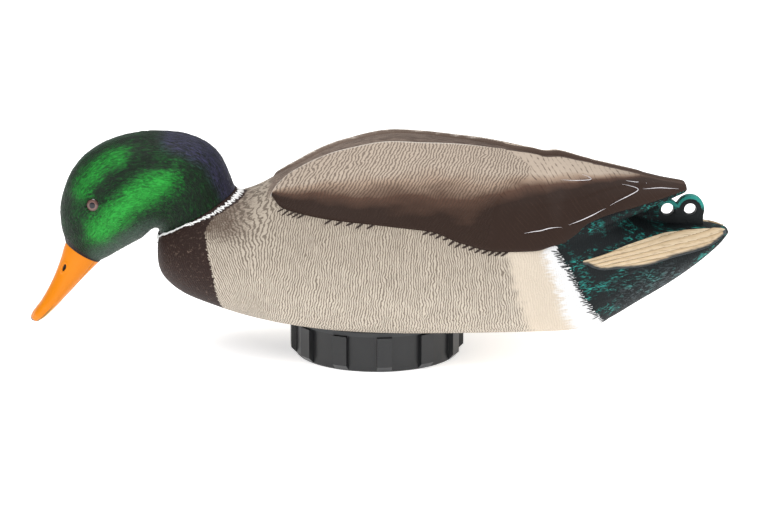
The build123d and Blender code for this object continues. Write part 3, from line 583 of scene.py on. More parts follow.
left_wing, wing_facts = make_wing("left_wing", -1)
right_wing, _ = make_wing("right_wing", 1)
for wing in (right_wing, left_wing):
    mark_wing(wing, wing_facts)
print("wing faces", len(right_wing.data.polygons))

# %% [markdown]
# ## The tail
#
# A drake's tail is a fan of stiff pale feathers, each laid a little under the one above. Here each side of
# the fan is one plate with six steps along it, and each step ends a little shorter, as the real tips do.

# %% Tail fans
fan_top = curve_through([143, 160, 177, 195, 213, 231, 249], [83.5, 86.5, 90.5, 92.3, 93, 93, 91.6])
fan_low = curve_through([143, 160, 183, 210, 234, 249], [81, 74.8, 74.4, 79.4, 83.2, 89.3])
feather_gap = 2.7
feather_rise = 0.105


def fan_facts():
    x = np.linspace(143, 249.5, 130)
    form = [line(x) for line in hull_lines]
    start = turn_at(form, np.minimum(fan_top(x), form[0] - 0.6))
    end = np.maximum(turn_at(form, fan_low(x)), start + 0.02)
    grid, from_top, from_low, normal = draped_grid(form, x, start, end, 44)
    feather = (93.2 - (grid[..., 2] - feather_rise * (x[:, None] - 246))) / feather_gap
    past_tip = x[:, None] - (249.5 - 2.9 * np.clip(np.floor(feather), 0, 8))
    step = 1 - (feather - np.floor(feather))
    height = 0.7 * smooth(0, 0.9, step) + 0.55 - 0.5 * smooth(-0.4, 0.4, past_tip)
    height = height * round_rim(from_top, 0.8) * round_rim(from_low, 0.8) * round_rim(x - 143, 2)[:, None]
    return x, grid, from_low, feather, past_tip, normal, height


def make_fan(name, side):
    x, grid, from_low, feather, past_tip, normal, height = fan_facts()
    mirror = np.array([1, side, 1])
    fan = plate(name, (grid + normal * height[..., None]) * mirror, (grid - normal * 0.8) * mirror,
            "decoy_body")
    for label, values in (("feather", feather), ("past_tip", past_tip), ("from_low", from_low)):
        note(fan, label, np.concatenate([(values + 0 * feather).ravel()] * 2))
    return fan


left_tail = make_fan("left_tail_fan", -1)
right_tail = make_fan("right_tail_fan", 1)
print("tail fan faces", len(right_tail.data.polygons))

# %% [markdown]
# ## The head
#
# The head is a closed tube of cuts. Its relief is carved on top: a groove runs back from the eye, with the
# full cheek under it and the brow above it, and short strokes of down lie along the flow from bill to neck.
# The down could be bump alone, but a drake's head is looked at closely, so its strokes are real.

# %% Head form
cheek_line = [(-196, 95), (-185, 107), (-173, 118), (-163, 125), (-151, 132)]
brow_line = [(-209, 123), (-202, 134), (-191, 143), (-181, 148)]
groove_line = [(-195, 119), (-188, 128), (-177, 137), (-167, 143), (-158, 145), (-147, 143)]
eye_middle = np.array([-201.0, 0, 114.0])
eye_half = 4.5


def head_grid(rows=190, columns=224):
    order = np.arange(len(head_cuts))
    crown = np.array([c[0] for c in head_cuts])
    chin = np.array([c[1] for c in head_cuts])
    width = np.array([c[2] for c in head_cuts])
    u = np.linspace(0, len(head_cuts) - 1, rows)
    crown_x, crown_z = (curve_through(order, crown[:, k], loose=True)(u)[:, None] for k in (0, 1))
    chin_x, chin_z = (curve_through(order, chin[:, k], loose=True)(u)[:, None] for k in (0, 1))
    half = curve_through(order, width, loose=True)(u)[:, None]
    turn = np.linspace(0, 2 * pi, columns, endpoint=False)[None, :]
    x = (crown_x + chin_x) / 2 + (crown_x - chin_x) / 2 * np.cos(turn)
    z = (crown_z + chin_z) / 2 + (crown_z - chin_z) / 2 * np.cos(turn)
    grid = np.stack([x, half * np.sin(turn), z], -1)
    along = np.gradient(grid, axis=0)
    across = np.roll(grid, -1, 1) - np.roll(grid, 1, 1)
    normal = np.cross(across, along)
    normal /= np.maximum(np.linalg.norm(normal, axis=-1, keepdims=True), 1e-9)
    if ((grid - grid.mean(1, keepdims=True)) * normal).sum() < 0:
        normal = -normal
    return grid, normal, u[:, None] + 0 * turn, turn + 0 * u[:, None]


def side_view(grid):
    return grid[..., [0, 2]]


def head_relief(grid, u, turn):
    flat = side_view(grid)
    flank = smooth(6, 17, np.abs(grid[..., 1]))
    cheek = 1.5 * np.exp(-(away_from(flat, cheek_line) / 11) ** 2)
    brow = 1.2 * np.exp(-(away_from(flat, brow_line) / 8) ** 2)
    groove = -1.8 * np.exp(-(away_from(flat, groove_line) / 4.2) ** 2)
    from_eye = np.hypot(flat[..., 0] - eye_middle[0], flat[..., 1] - eye_middle[2])
    lid = 0.8 * np.exp(-((from_eye - eye_half - 0.9) / 0.9) ** 2) - 1.4 * smooth(eye_half + 0.5,
            eye_half - 0.6, from_eye)
    bend = 1.6 * grain(grid / 14, 11)
    strokes = grain(np.stack([u * 6.2 + bend, turn * 24 + 1.2 * bend, 0 * u + 0.5], -1), 21)
    fine = grain(np.stack([u * 13 + bend, turn * 46 + 2 * bend, 0 * u + 0.5], -1), 22)
    down = (0.34 * np.abs(strokes) + 0.2 * fine) * smooth(8.9, 8.3, u) * smooth(0.0, 0.25, u)
    quiet = smooth(eye_half + 0.4, eye_half + 2, from_eye)
    whole = flank * (cheek + brow + groove + lid) * smooth(0.2, 1.6, u)
    return whole + down * np.where(flank > 0.5, quiet, 1) - 0.2


head_points, head_normals, head_u, head_turn = head_grid()
relief = head_relief(head_points, head_u, head_turn) * smooth(9.0, 8.7, head_u) * smooth(0, 0.12, head_u)
lift = 0.35 * smooth(0.4, 0.0, head_u)[..., None] * collar_up
carved_head = head_points + head_normals * relief[..., None] + lift
head_skin = piece_from("head_skin", carved_head.reshape(-1, 3), tube_faces(*carved_head.shape[:2]), "head")


def mark_head():
    flat = side_view(head_points)
    flank = smooth(7, 20, np.abs(head_points[..., 1]))
    # Painted shade: the paint is nearly black in the groove behind the eye.
    groove_shade = np.exp(-(away_from(flat, groove_line) / 4.5) ** 2)
    # Painted highlight: bright green where the cheek and brow swell toward the light.
    painted_sheen = 0.95 * np.exp(-(away_from(flat, cheek_line) / 12.5) ** 2)
    painted_sheen = painted_sheen + 0.7 * np.exp(-(away_from(flat, brow_line) / 9) ** 2)
    painted_sheen = painted_sheen * (1 - 0.85 * groove_shade) * flank
    # Where the painted violet sheen on the nape lies.
    nape_line = [(-160, 163), (-133, 159), (-113, 146), (-101, 120)]
    nape = smooth(17, 3, away_from(flat, nape_line)) * smooth(-165, -140, head_points[..., 0])
    chin = smooth(16, 3, away_from(flat, [(-199, 70), (-190, 76), (-176, 84), (-160, 93)]))
    rim = smooth(9, 3, np.abs(head_points[..., 1])) * smooth(2.5, 5, head_u)
    note(head_skin, "painted_sheen", painted_sheen.ravel())
    note(head_skin, "nape", nape.ravel())
    note(head_skin, "ash", np.maximum(0.8 * chin, 0.7 * rim).ravel())
    note(head_skin, "bill_root", ((9 - head_u) * 15.2).ravel())
    note(head_skin, "flow_a", (head_u * 17).ravel())
    note(head_skin, "flow_b", (head_turn * 32).ravel())


mark_head()
cut(head_skin, round_cutter("head_bore", collar_middle, collar_up, [
    (22.2, -2), (22.2, 4.4), (27.0, 4.4), (27.0, 13)]))
head_skin.data.shade_smooth()
head_skin.data.set_sharp_from_angle(angle=radians(50))
head_skin["rides"] = "head"
print("head skin", len(head_skin.data.polygons), "faces", [a.name for a in head_skin.data.attributes][:12])

# %% [markdown]
# ## Eyes and bill
#
# The eye of a good decoy is a glass or acrylic dome set in a carved lid. It is turned here as a shallow
# dome that faces the way the cheek faces. The bill is one drooping form with a nostril sunk in each side, a
# gape line low on the side, and a hard nail at the tip.


# %% Eyes
def make_eye(name, side):
    flat_gap = np.linalg.norm(head_points - (eye_middle + np.array([0, side * 28, 0])), axis=-1)
    r, c = np.unravel_index(np.argmin(flat_gap), flat_gap.shape)
    middle, out = head_points[r, c], head_normals[r, c]
    up = np.cross(out, [1.0, 0, 0])
    up /= np.linalg.norm(up)
    ahead = np.cross(up, out)
    rings, around = 22, 48
    radius = np.linspace(eye_half + 0.3, 0.05, rings)[:, None]
    turn = np.linspace(0, 2 * pi, around, endpoint=False)[None, :]
    height = -0.9 + 1.5 * np.sqrt(np.maximum(1 - (radius / (eye_half + 0.6)) ** 2, 0))
    points = middle + (radius * np.cos(turn))[..., None] * ahead + (radius * np.sin(turn))[..., None] * up
    points = points + (height + 0 * turn)[..., None] * out
    base = points[:1] - 1.2 * out
    points = np.concatenate([base, points])
    eye = piece_from(name, points.reshape(-1, 3), tube_faces(rings + 1, around), "head")
    ring = np.concatenate([[eye_half + 0.3], radius[:, 0]])[:, None] + 0 * turn
    note(eye, "ring", ring.ravel())
    return eye


left_eye = make_eye("left_eye_dome", -1)
right_eye = make_eye("right_eye_dome", 1)

# %% Bill
bill_root = np.array([-211.8, 0, 73.75])
bill_ahead = np.array([-cos(radians(56.5)), 0, -sin(radians(56.5))])
bill_up = np.array([-sin(radians(56.5)), 0, cos(radians(56.5))])
bill_length = 62.0
bill_share = [-0.06, 0, 0.22, 0.5, 0.78, 0.93, 1.0, 1.02]
bill_thick = curve_through(bill_share, [14.9, 14.2, 10.8, 7.6, 5.4, 4.2, 2.4, 1.0], loose=True)
bill_wide = curve_through(bill_share, [12.6, 12.4, 11.6, 11.4, 12.3, 10.8, 6.5, 3.0], loose=True)
bill_drift = curve_through(bill_share, [0, 0, -0.6, -0.8, 0.2, 1.6, 2.2, 2.3], loose=True)
nostril = (0.25, radians(57))


def make_bill(rows=150, columns=140):
    share = np.linspace(-0.05, 1.02, rows)[:, None]
    turn = np.linspace(0, 2 * pi, columns, endpoint=False)[None, :]
    c, s = np.cos(turn), np.sin(turn)
    square = 1 - 0.22 * smooth(0.3, 0.9, share)
    up = bill_thick(share) * np.sign(c) * np.abs(c) ** square
    side = bill_wide(share) * np.sign(s) * np.abs(s) ** square
    start = -0.055 * np.exp(-(np.minimum(turn, 2 * pi - turn) / 0.55) ** 2) * smooth(0.12, -0.05, share)
    place = share + start + 0 * turn
    grid = (bill_root + bill_ahead * (place * bill_length)[..., None]
            + bill_up * (bill_drift(share) + up)[..., None] + np.array([0, 1, 0]) * side[..., None])
    normal = normals_of(grid, True)
    if ((grid - grid.mean(1, keepdims=True)) * normal).sum() < 0:
        normal = -normal
    away = np.minimum(turn, 2 * pi - turn)
    gape_turn = radians(140) + radians(26) * np.clip(share / 0.55, 0, 1)
    gape = (away - gape_turn) * bill_thick(share)
    edge = (away - radians(124)) * bill_thick(share) * 1.2
    hole = np.hypot((share - nostril[0]) * bill_length / 3.0, (away - nostril[1]) * 11.5 / 1.7)
    relief = -0.55 * np.exp(-(gape / 0.55) ** 2) * smooth(0.0, 0.06, share) * smooth(0.62, 0.5, share)
    relief = relief - 0.7 * np.exp(-(edge / 0.6) ** 2) * smooth(0.62, 0.74, share)
    relief = relief - 1.7 * smooth(1.05, 0.6, hole) + 0.3 * np.exp(-((hole - 1.35) / 0.25) ** 2)
    nail = smooth(0.9, 0.93, share) * smooth(5.5, 4.6, np.abs(side)) * smooth(1.2, 0.9, away)
    relief = relief + 0.45 * nail
    made = piece_from("bill_skin", (grid + normal * relief[..., None]).reshape(-1, 3),
                      tube_faces(rows, columns), "head")
    for label, values in (("share", share), ("gape", gape), ("edge", edge), ("hole", hole)):
        note(made, label, (values + 0 * up).ravel())
    return made


bill_skin = make_bill()
print("eyes and bill", len(right_eye.data.polygons), len(bill_skin.data.polygons))

# %% [markdown]
# ## Curled tail feathers
#
# The drake's curls double as the anchor line's eyes. The CAD piece holds their bores at the right size. Its
# copy is remeshed and relaxed until the corners are as round as cast plastic, and two crescent feathers are
# swept round the loops on each side.


# %% Curls
def crescent(name, middle, radius, start, end, thick, half_width, side, rows=40, around=14):
    """A tapered feather bent round a loop."""
    share = np.linspace(0, 1, rows)[:, None]
    turn = start + (end - start) * share
    round_ = np.linspace(0, 2 * pi, around, endpoint=False)[None, :]
    taper = np.sin(pi * np.clip(share, 0.02, 0.98)) ** 0.5
    out = radius + thick * taper * np.cos(round_)
    across = side * 2.2 + half_width * taper * np.sin(round_)
    points = np.stack([middle[0] + out * np.cos(turn), across + 0 * turn, middle[2] + out * np.sin(turn)], -1)
    return piece_from(name, points.reshape(-1, 3), tube_faces(rows, around), "decoy_body")


curl_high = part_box("tail_curls")[1]
rear_loop = np.array([curl_high.x / MM - 10.2, 0, curl_high.z / MM - 10.2])
front_loop = rear_loop - np.array([16.3, 0, 0])
curl_copy = bpy.data.objects.new("curl_blank", frame["nodes"]["tail_curls"].data.copy())
scene.collection.objects.link(curl_copy)
welder = bmesh.new()
welder.from_mesh(curl_copy.data)
bmesh.ops.remove_doubles(welder, verts=welder.verts, dist=1e-6)
welder.to_mesh(curl_copy.data)
welder.free()
tail_curls_skin = melt("tail_curls_skin", [
    curl_copy,
    crescent("c1", rear_loop, 8.0, radians(-60), radians(200), 1.7, 2.6, -1),
    crescent("c2", rear_loop, 8.0, radians(-60), radians(200), 1.7, 2.6, 1),
    crescent("c3", front_loop, 6.2, radians(-100), radians(95), 1.5, 2.4, -1),
    crescent("c4", front_loop, 6.2, radians(-100), radians(95), 1.5, 2.4, 1),
], 0.5)
relax(tail_curls_skin, np.full(len(tail_curls_skin.data.vertices), 0.5), 5)
tail_curls_skin["rides"] = "decoy_body"


def mark_curls():
    x, y, z = places_of(tail_curls_skin).T
    rear = np.hypot(x - rear_loop[0], z - rear_loop[2])
    angle = np.arctan2(z - rear_loop[2], x - rear_loop[0])
    # Where the painted teal highlight sits: the top of the rear loop.
    note(tail_curls_skin, "lit", smooth(7.0, 8.6, rear) * smooth(-0.4, 0.5, np.sin(angle)) * smooth(90,
            100, z))


mark_curls()
print("curls", len(tail_curls_skin.data.polygons), "faces, rear loop at", rear_loop.round(1))

# %% [markdown]
# ## Brush dabs and barbs
#
# The white neck ring is a row of quick dabs of thick paint. Small pointed barbs stick out from under the
# wing's lower edge, and black dabs bite into the white flank at the rump. All three repeat along a line on
# the skin, so one Geometry Nodes tree lays them: it puts a small lens of paint on each point of a guide,
# turned to the skin, with a random size and swing. The guide's points carry the skin's direction.


# %% The dab tree
def lay(tree, kind, inputs={}, **settings):
    """Add one node with its settings, values and links."""
    node = tree.nodes.new(kind)
    stops = settings.pop("stops", None)
    for key, value in settings.items():
        setattr(node, key, value)
    if stops:
        ramp = node.color_ramp
        while len(ramp.elements) < len(stops):
            ramp.elements.new(0.5)
        for element, (place, colour) in zip(ramp.elements, stops):
            element.position, element.color = place, colour
    for key, value in inputs.items():
        socket = node.inputs[key] if isinstance(key, int) else next(
            s for s in node.inputs if s.enabled and s.name == key)
        if isinstance(value, bpy.types.Node):
            value = next(s for s in value.outputs if s.enabled)
        if isinstance(value, bpy.types.NodeSocket):
            tree.links.new(value, socket)
        else:
            socket.default_value = value
    return node


def dab_tree():
    tree = bpy.data.node_groups.new("paint_dabs", "GeometryNodeTree")
    face = tree.interface
    face.new_socket("Guide", in_out="INPUT", socket_type="NodeSocketGeometry")
    for name, value in (("Length", 0.004), ("Width", 0.001), ("Thickness", 0.0006), ("Swing", 0.3)):
        face.new_socket(name, in_out="INPUT", socket_type="NodeSocketFloat").default_value = value
    face.new_socket("Seed", in_out="INPUT", socket_type="NodeSocketInt").default_value = 1
    face.new_socket("Paint", in_out="INPUT", socket_type="NodeSocketMaterial")
    face.new_socket("Dabs", in_out="OUTPUT", socket_type="NodeSocketGeometry")
    given = lay(tree, "NodeGroupInput").outputs
    out = lay(tree, "GeometryNodeInputNamedAttribute", {"Name": "out"}, data_type="FLOAT_VECTOR")
    ahead = lay(tree, "GeometryNodeInputNamedAttribute", {"Name": "ahead"}, data_type="FLOAT_VECTOR")
    facing = lay(tree, "FunctionNodeAxesToRotation", {0: out.outputs[0], 1: ahead.outputs[0]},
            primary_axis="Z", secondary_axis="X")
    low = lay(tree, "ShaderNodeMath", {0: given["Swing"], 1: -1.0}, operation="MULTIPLY")
    swing = lay(tree, "FunctionNodeRandomValue",
            {"Min": low, "Max": given["Swing"], "Seed": given["Seed"]}, data_type="FLOAT")
    swing_turn = lay(tree, "ShaderNodeCombineXYZ", {"Z": swing})
    turned = lay(tree, "FunctionNodeRotateRotation", {0: facing, 1: swing_turn}, rotation_space="LOCAL")
    size = lay(tree, "FunctionNodeRandomValue", {"Min": 0.6, "Max": 1.2, "Seed": given["Seed"]},
            data_type="FLOAT")
    long = lay(tree, "ShaderNodeMath", {0: given["Length"], 1: size}, operation="MULTIPLY")
    scale = lay(tree, "ShaderNodeCombineXYZ", {"X": long, "Y": given["Width"], "Z": given["Thickness"]})
    lens = lay(tree, "GeometryNodeMeshIcoSphere", {"Radius": 0.5, "Subdivisions": 2})
    placed = lay(tree, "GeometryNodeInstanceOnPoints",
            {"Points": given["Guide"], "Instance": lens, "Rotation": turned, "Scale": scale})
    real = lay(tree, "GeometryNodeRealizeInstances", {"Geometry": placed})
    soft = lay(tree, "GeometryNodeSetShadeSmooth", {"Geometry": real})
    painted = lay(tree, "GeometryNodeSetMaterial", {"Geometry": soft, "Material": given["Paint"]})
    lay(tree, "NodeGroupOutput", {"Dabs": painted})
    return tree


paint_dabs = dab_tree()


def lay_dabs(name, spots, length, width, thickness, swing, seed, paint):
    """Dabs on spots of (place, outward, ahead) in millimetres, baked to a plain mesh."""
    guide = bpy.data.meshes.new(name)
    guide.from_pydata([tuple(np.array(s[0]) * MM) for s in spots], [], [])
    for label, k in (("out", 1), ("ahead", 2)):
        attribute = guide.attributes.new(label, "FLOAT_VECTOR", "POINT")
        attribute.data.foreach_set("vector", np.array([s[k] for s in spots], np.float32).ravel())
    made = bpy.data.objects.new(name, guide)
    scene.collection.objects.link(made)
    modifier = made.modifiers.new("dabs", "NODES")
    modifier.node_group = paint_dabs
    values = {"Length": length * MM, "Width": width * MM, "Thickness": thickness * MM,
              "Swing": swing, "Seed": seed, "Paint": paint}
    for item in paint_dabs.interface.items_tree:
        if item.in_out == "INPUT" and item.name in values:
            modifier[item.identifier] = values[item.name]
    graph = bpy.context.evaluated_depsgraph_get()
    mesh = bpy.data.meshes.new_from_object(made.evaluated_get(graph))
    made.modifiers.clear()
    made.data = mesh
    made["rides"] = "decoy_body"
    return made


print("dab tree inputs", [i.name for i in paint_dabs.interface.items_tree if i.in_out == "INPUT"])

# %% [markdown]
# ## Paint
#
# Decoy paint is matt acrylic sprayed and brushed on polyethylene. Each finish is a small shader of its own:
# noise and the marks on the mesh mix the colours, and the same patterns drive a bump, because the paint
# sits in moulded grooves. Colours are written as sRGB hex and turned to linear by one function.


# %% Colour and surface helpers
# Pattern sizes in millimetres at the decoy's real size: the spacing of the drawn lines on flank and wing,
# of the barbs on the long feathers, and how far the head's paint stays from the bill.
BODY_LINE_MM, WING_LINE_MM, BARB_MM, BILL_SEAM_MM = 1.75, 1.9, 2.6, 8.2


def tint(code):
    """An sRGB hex colour as linear RGBA."""
    parts = [int(code[k:k + 2], 16) / 255 for k in (1, 3, 5)]
    return tuple(p / 12.92 if p <= 0.04045 else ((p + 0.055) / 1.055) ** 2.4 for p in parts) + (1.0,)


def new_paint(name, roughness, **shader):
    """A material with its shader set, and its place on the object in millimetres."""
    paint = bpy.data.materials.new(name)
    paint.use_nodes = True
    tree = paint.node_tree
    surface = tree.nodes["Principled BSDF"]
    surface.inputs["Roughness"].default_value = roughness
    for key, value in shader.items():
        surface.inputs[key.replace("_", " ")].default_value = value
    spot = lay(tree, "ShaderNodeTexCoord").outputs["Object"]
    place = lay(tree, "ShaderNodeVectorMath", {0: spot, 3: 1000.0}, operation="SCALE")
    return paint, tree, surface, place.outputs[0]


def stroke_noise(tree, place, along, detail=2.0, spread=0.0):
    """Noise drawn out along one way; along is its size in millimetres along X, Y and Z."""
    stretched = lay(tree, "ShaderNodeVectorMath", {0: place, 1: [1 / a for a in along]}, operation="MULTIPLY")
    return lay(tree, "ShaderNodeTexNoise", {"Vector": stretched, "Scale": 1.0, "Detail": detail,
            "Distortion": spread}).outputs["Fac"]


def ragged(tree, mark, strokes, reach, soft=0.4, start=0.0):
    """A 0 to 1 mask past a mark, with an edge as ragged as the strokes."""
    centred = lay(tree, "ShaderNodeMath", {0: strokes, 1: reach, 2: -0.5 * reach},
            operation="MULTIPLY_ADD").outputs[0]
    moved = lay(tree, "ShaderNodeMath", {0: mark, 1: 1.0, 2: centred}, operation="MULTIPLY_ADD").outputs[0]
    return lay(tree, "ShaderNodeMapRange", {"Value": moved, "From Min": start - soft,
            "From Max": start + soft}, interpolation_type="SMOOTHSTEP").outputs[0]


def wavy_lines(tree, place, strand, spacing, wobble, low=-0.1, high=0.75):
    """The drake's fine dark lines: a sine of the strand number, pushed about and broken by noise."""
    wide = stroke_noise(tree, place, (13, 13, 13), 1)
    fine = stroke_noise(tree, place, (3.4, 3.4, 3.0), 2)
    breaks = stroke_noise(tree, place, (2.4, 2.4, 6.0), 1)
    moved = lay(tree, "ShaderNodeMath", {0: fine, 1: 1.5 * wobble,
            2: lay(tree, "ShaderNodeMath", {0: wide, 1: 3 * wobble, 2: strand},
            operation="MULTIPLY_ADD").outputs[0]}, operation="MULTIPLY_ADD").outputs[0]
    turned = lay(tree, "ShaderNodeMath", {0: moved, 1: 2 * pi / spacing}, operation="MULTIPLY")
    wave = lay(tree, "ShaderNodeMath", {0: turned}, operation="SINE").outputs[0]
    wave = lay(tree, "ShaderNodeMath", {0: 1.0, 1: -0.8,
            2: lay(tree, "ShaderNodeMath", {0: breaks, 1: 1.6, 2: wave},
            operation="MULTIPLY_ADD").outputs[0]}, operation="MULTIPLY_ADD").outputs[0]
    return lay(tree, "ShaderNodeMapRange", {"Value": wave, "From Min": low, "From Max": high},
            interpolation_type="SMOOTHSTEP").outputs[0]


print("orange in linear", [round(v, 3) for v in tint("#FFA800")])

# %% [markdown]
# Body paint. From the front: chestnut breast with pale flecks, flank of warm grey with fine dark lines,
# plain beige and then clean white, and a black rump with teal brush strokes. Lines stand about 1.7 mm apart.


# %% Body paint
def body_paint():
    """Matt acrylic on blown polyethylene: no real highlight, only the shadow in its grooves, with painted
    shade on the upper flank and a painted highlight low on the undertail.
    """
    paint, tree, surface, place = new_paint("matt_acrylic_on_polyethylene", 0.66, Specular_IOR_Level=0.2)
    mark = {name: lay(tree, "ShaderNodeAttribute", attribute_name=name).outputs["Fac"]
            for name in ("back", "breast", "neck", "plain", "rump", "strand", "tail_low", "white")}
    strand = mark["strand"]
    lines = wavy_lines(tree, place, strand, BODY_LINE_MM, 1.6)
    height = lay(tree, "ShaderNodeSeparateXYZ", {0: place}).outputs["Z"]
    # Painted shade: the flank is painted darker toward the top, under the overhanging wing, and lighter low
    # down.
    shade_toward_top = lay(tree, "ShaderNodeMapRange",
            {"Value": height, "From Min": 25.0, "From Max": 125.0}).outputs[0]
    cloud = stroke_noise(tree, place, (22, 22, 14), 3)
    flank = lay(tree, "ShaderNodeMix", {"Factor": shade_toward_top, "A": tint("#D6CCBD"), "B": tint("#B3A797")},
            data_type="RGBA").outputs[2]
    flank = lay(tree, "ShaderNodeMix", {"Factor": lay(tree, "ShaderNodeMath", {0: cloud, 1: 0.4},
            operation="MULTIPLY"), "A": flank, "B": tint("#A4968A")}, data_type="RGBA").outputs[2]
    fleck_a = stroke_noise(tree, place, (4.2, 2.2, 1.5), 3, 1.2)
    neck_mask = ragged(tree, mark["neck"], fleck_a, 1.1, 0.45, 0.75)
    flank = lay(tree, "ShaderNodeMix", {"Factor": neck_mask, "A": flank, "B": tint("#67574C")},
            data_type="RGBA").outputs[2]
    with_lines = lay(tree, "ShaderNodeMix", {"Factor": lay(tree, "ShaderNodeMath", {0: lines, 1: 0.72},
            operation="MULTIPLY"), "A": flank, "B": tint("#54483D")}, data_type="RGBA").outputs[2]
    jag_fine = stroke_noise(tree, place, (9, 2.0, 1.1), 2)
    plain = ragged(tree, mark["plain"], stroke_noise(tree, place, (9, 9, 7), 2), 16, 5)
    beige = lay(tree, "ShaderNodeMix", {"Factor": lay(tree, "ShaderNodeMath", {0: lines, 1: 0.16},
            operation="MULTIPLY"), "A": tint("#D3C6B5"), "B": tint("#A99A86")},
            data_type="RGBA").outputs[2]
    colour = lay(tree, "ShaderNodeMix", {"Factor": plain, "A": with_lines, "B": beige},
            data_type="RGBA").outputs[2]
    white = ragged(tree, mark["white"], jag_fine, 16, 5)
    colour = lay(tree, "ShaderNodeMix", {"Factor": white, "A": colour, "B": tint("#E6E6E7")},
            data_type="RGBA").outputs[2]
    # chestnut breast
    flecks = lay(tree, "ShaderNodeMapRange",
            {"Value": fleck_a, "From Min": 0.58, "From Max": 0.76}).outputs[0]
    breast = lay(tree, "ShaderNodeMix", {"Factor": flecks, "A": tint("#2C1D19"), "B": tint("#66554B")},
            data_type="RGBA").outputs[2]
    breast_mask = ragged(tree, mark["breast"], jag_fine, 5.5, 0.35)
    colour = lay(tree, "ShaderNodeMix", {"Factor": breast_mask, "A": colour, "B": breast},
            data_type="RGBA").outputs[2]
    # black rump with teal strokes
    curl = stroke_noise(tree, place, (9.0, 3.0, 1.7), 3, 1.4)
    teal_where = lay(tree, "ShaderNodeMapRange",
            {"Value": curl, "From Min": 0.5, "From Max": 0.66}).outputs[0]
    patchy = lay(tree, "ShaderNodeMapRange", {"Value": cloud, "From Min": 0.47, "From Max": 0.6}).outputs[0]
    teal_share = lay(tree, "ShaderNodeMath", {0: teal_where, 1: patchy}, operation="MULTIPLY")
    rump = lay(tree, "ShaderNodeMix", {"Factor": teal_share, "A": tint("#12181A"), "B": tint("#2B8F86")},
            data_type="RGBA").outputs[2]
    # Painted highlight: the teal strokes turn grey low on the undertail.
    undertail_highlight = lay(tree, "ShaderNodeMath", {0: teal_where, 1: mark["tail_low"]}, operation="MULTIPLY")
    rump = lay(tree, "ShaderNodeMix", {"Factor": undertail_highlight, "A": rump, "B": tint("#6C797D")},
            data_type="RGBA").outputs[2]
    rump_mask = ragged(tree, mark["rump"], jag_fine, 9.5, 0.3)
    colour = lay(tree, "ShaderNodeMix", {"Factor": rump_mask, "A": colour, "B": rump},
            data_type="RGBA").outputs[2]
    # strip of small feathers between the wings
    strip_strokes = stroke_noise(tree, place, (9, 1.8, 3.0), 3, 0.8)
    toward_tail = lay(tree, "ShaderNodeMapRange",
            {"Value": lay(tree, "ShaderNodeSeparateXYZ", {0: place}), "From Min": -20.0,
            "From Max": 130.0}).outputs[0]
    strip_light = lay(tree, "ShaderNodeMix",
            {"Factor": toward_tail, "A": tint("#8B7B6F"), "B": tint("#56443B")},
            data_type="RGBA").outputs[2]
    strip_dark = lay(tree, "ShaderNodeMix", {"Factor": toward_tail, "A": tint("#5C4D44"),
            "B": tint("#35261F")}, data_type="RGBA").outputs[2]
    strip_share = lay(tree, "ShaderNodeMapRange",
            {"Value": strip_strokes, "From Min": 0.35, "From Max": 0.65})
    strip = lay(tree, "ShaderNodeMix", {"Factor": strip_share, "A": strip_dark, "B": strip_light},
            data_type="RGBA").outputs[2]
    strip_mask = ragged(tree, mark["back"], strip_strokes, 4, 1.5)
    colour = lay(tree, "ShaderNodeMix", {"Factor": strip_mask, "A": colour, "B": strip},
            data_type="RGBA").outputs[2]
    tree.links.new(colour, surface.inputs["Base Color"])
    down = lay(tree, "ShaderNodeMath", {0: lines, 1: -0.7}, operation="MULTIPLY")
    soft = lay(tree, "ShaderNodeBump", {"Height": stroke_noise(tree, place, (5, 2, 1.6), 3, 1.0),
            "Distance": 0.25 * MM, "Strength": 1.0})
    bump = lay(tree, "ShaderNodeBump", {"Height": down, "Distance": 0.28 * MM, "Strength": 1.0,
            "Normal": soft})
    tree.links.new(bump.outputs[0], surface.inputs["Normal"])
    return paint


body_finish = body_paint()
print("body paint nodes", len(body_finish.node_tree.nodes))

# %% [markdown]
# Wing paint. The front lobe is pale with slanting wavy lines, and it darkens to umber along the lower edge.
# The long feathers behind it are plain, with a few fine barbs drawn in.


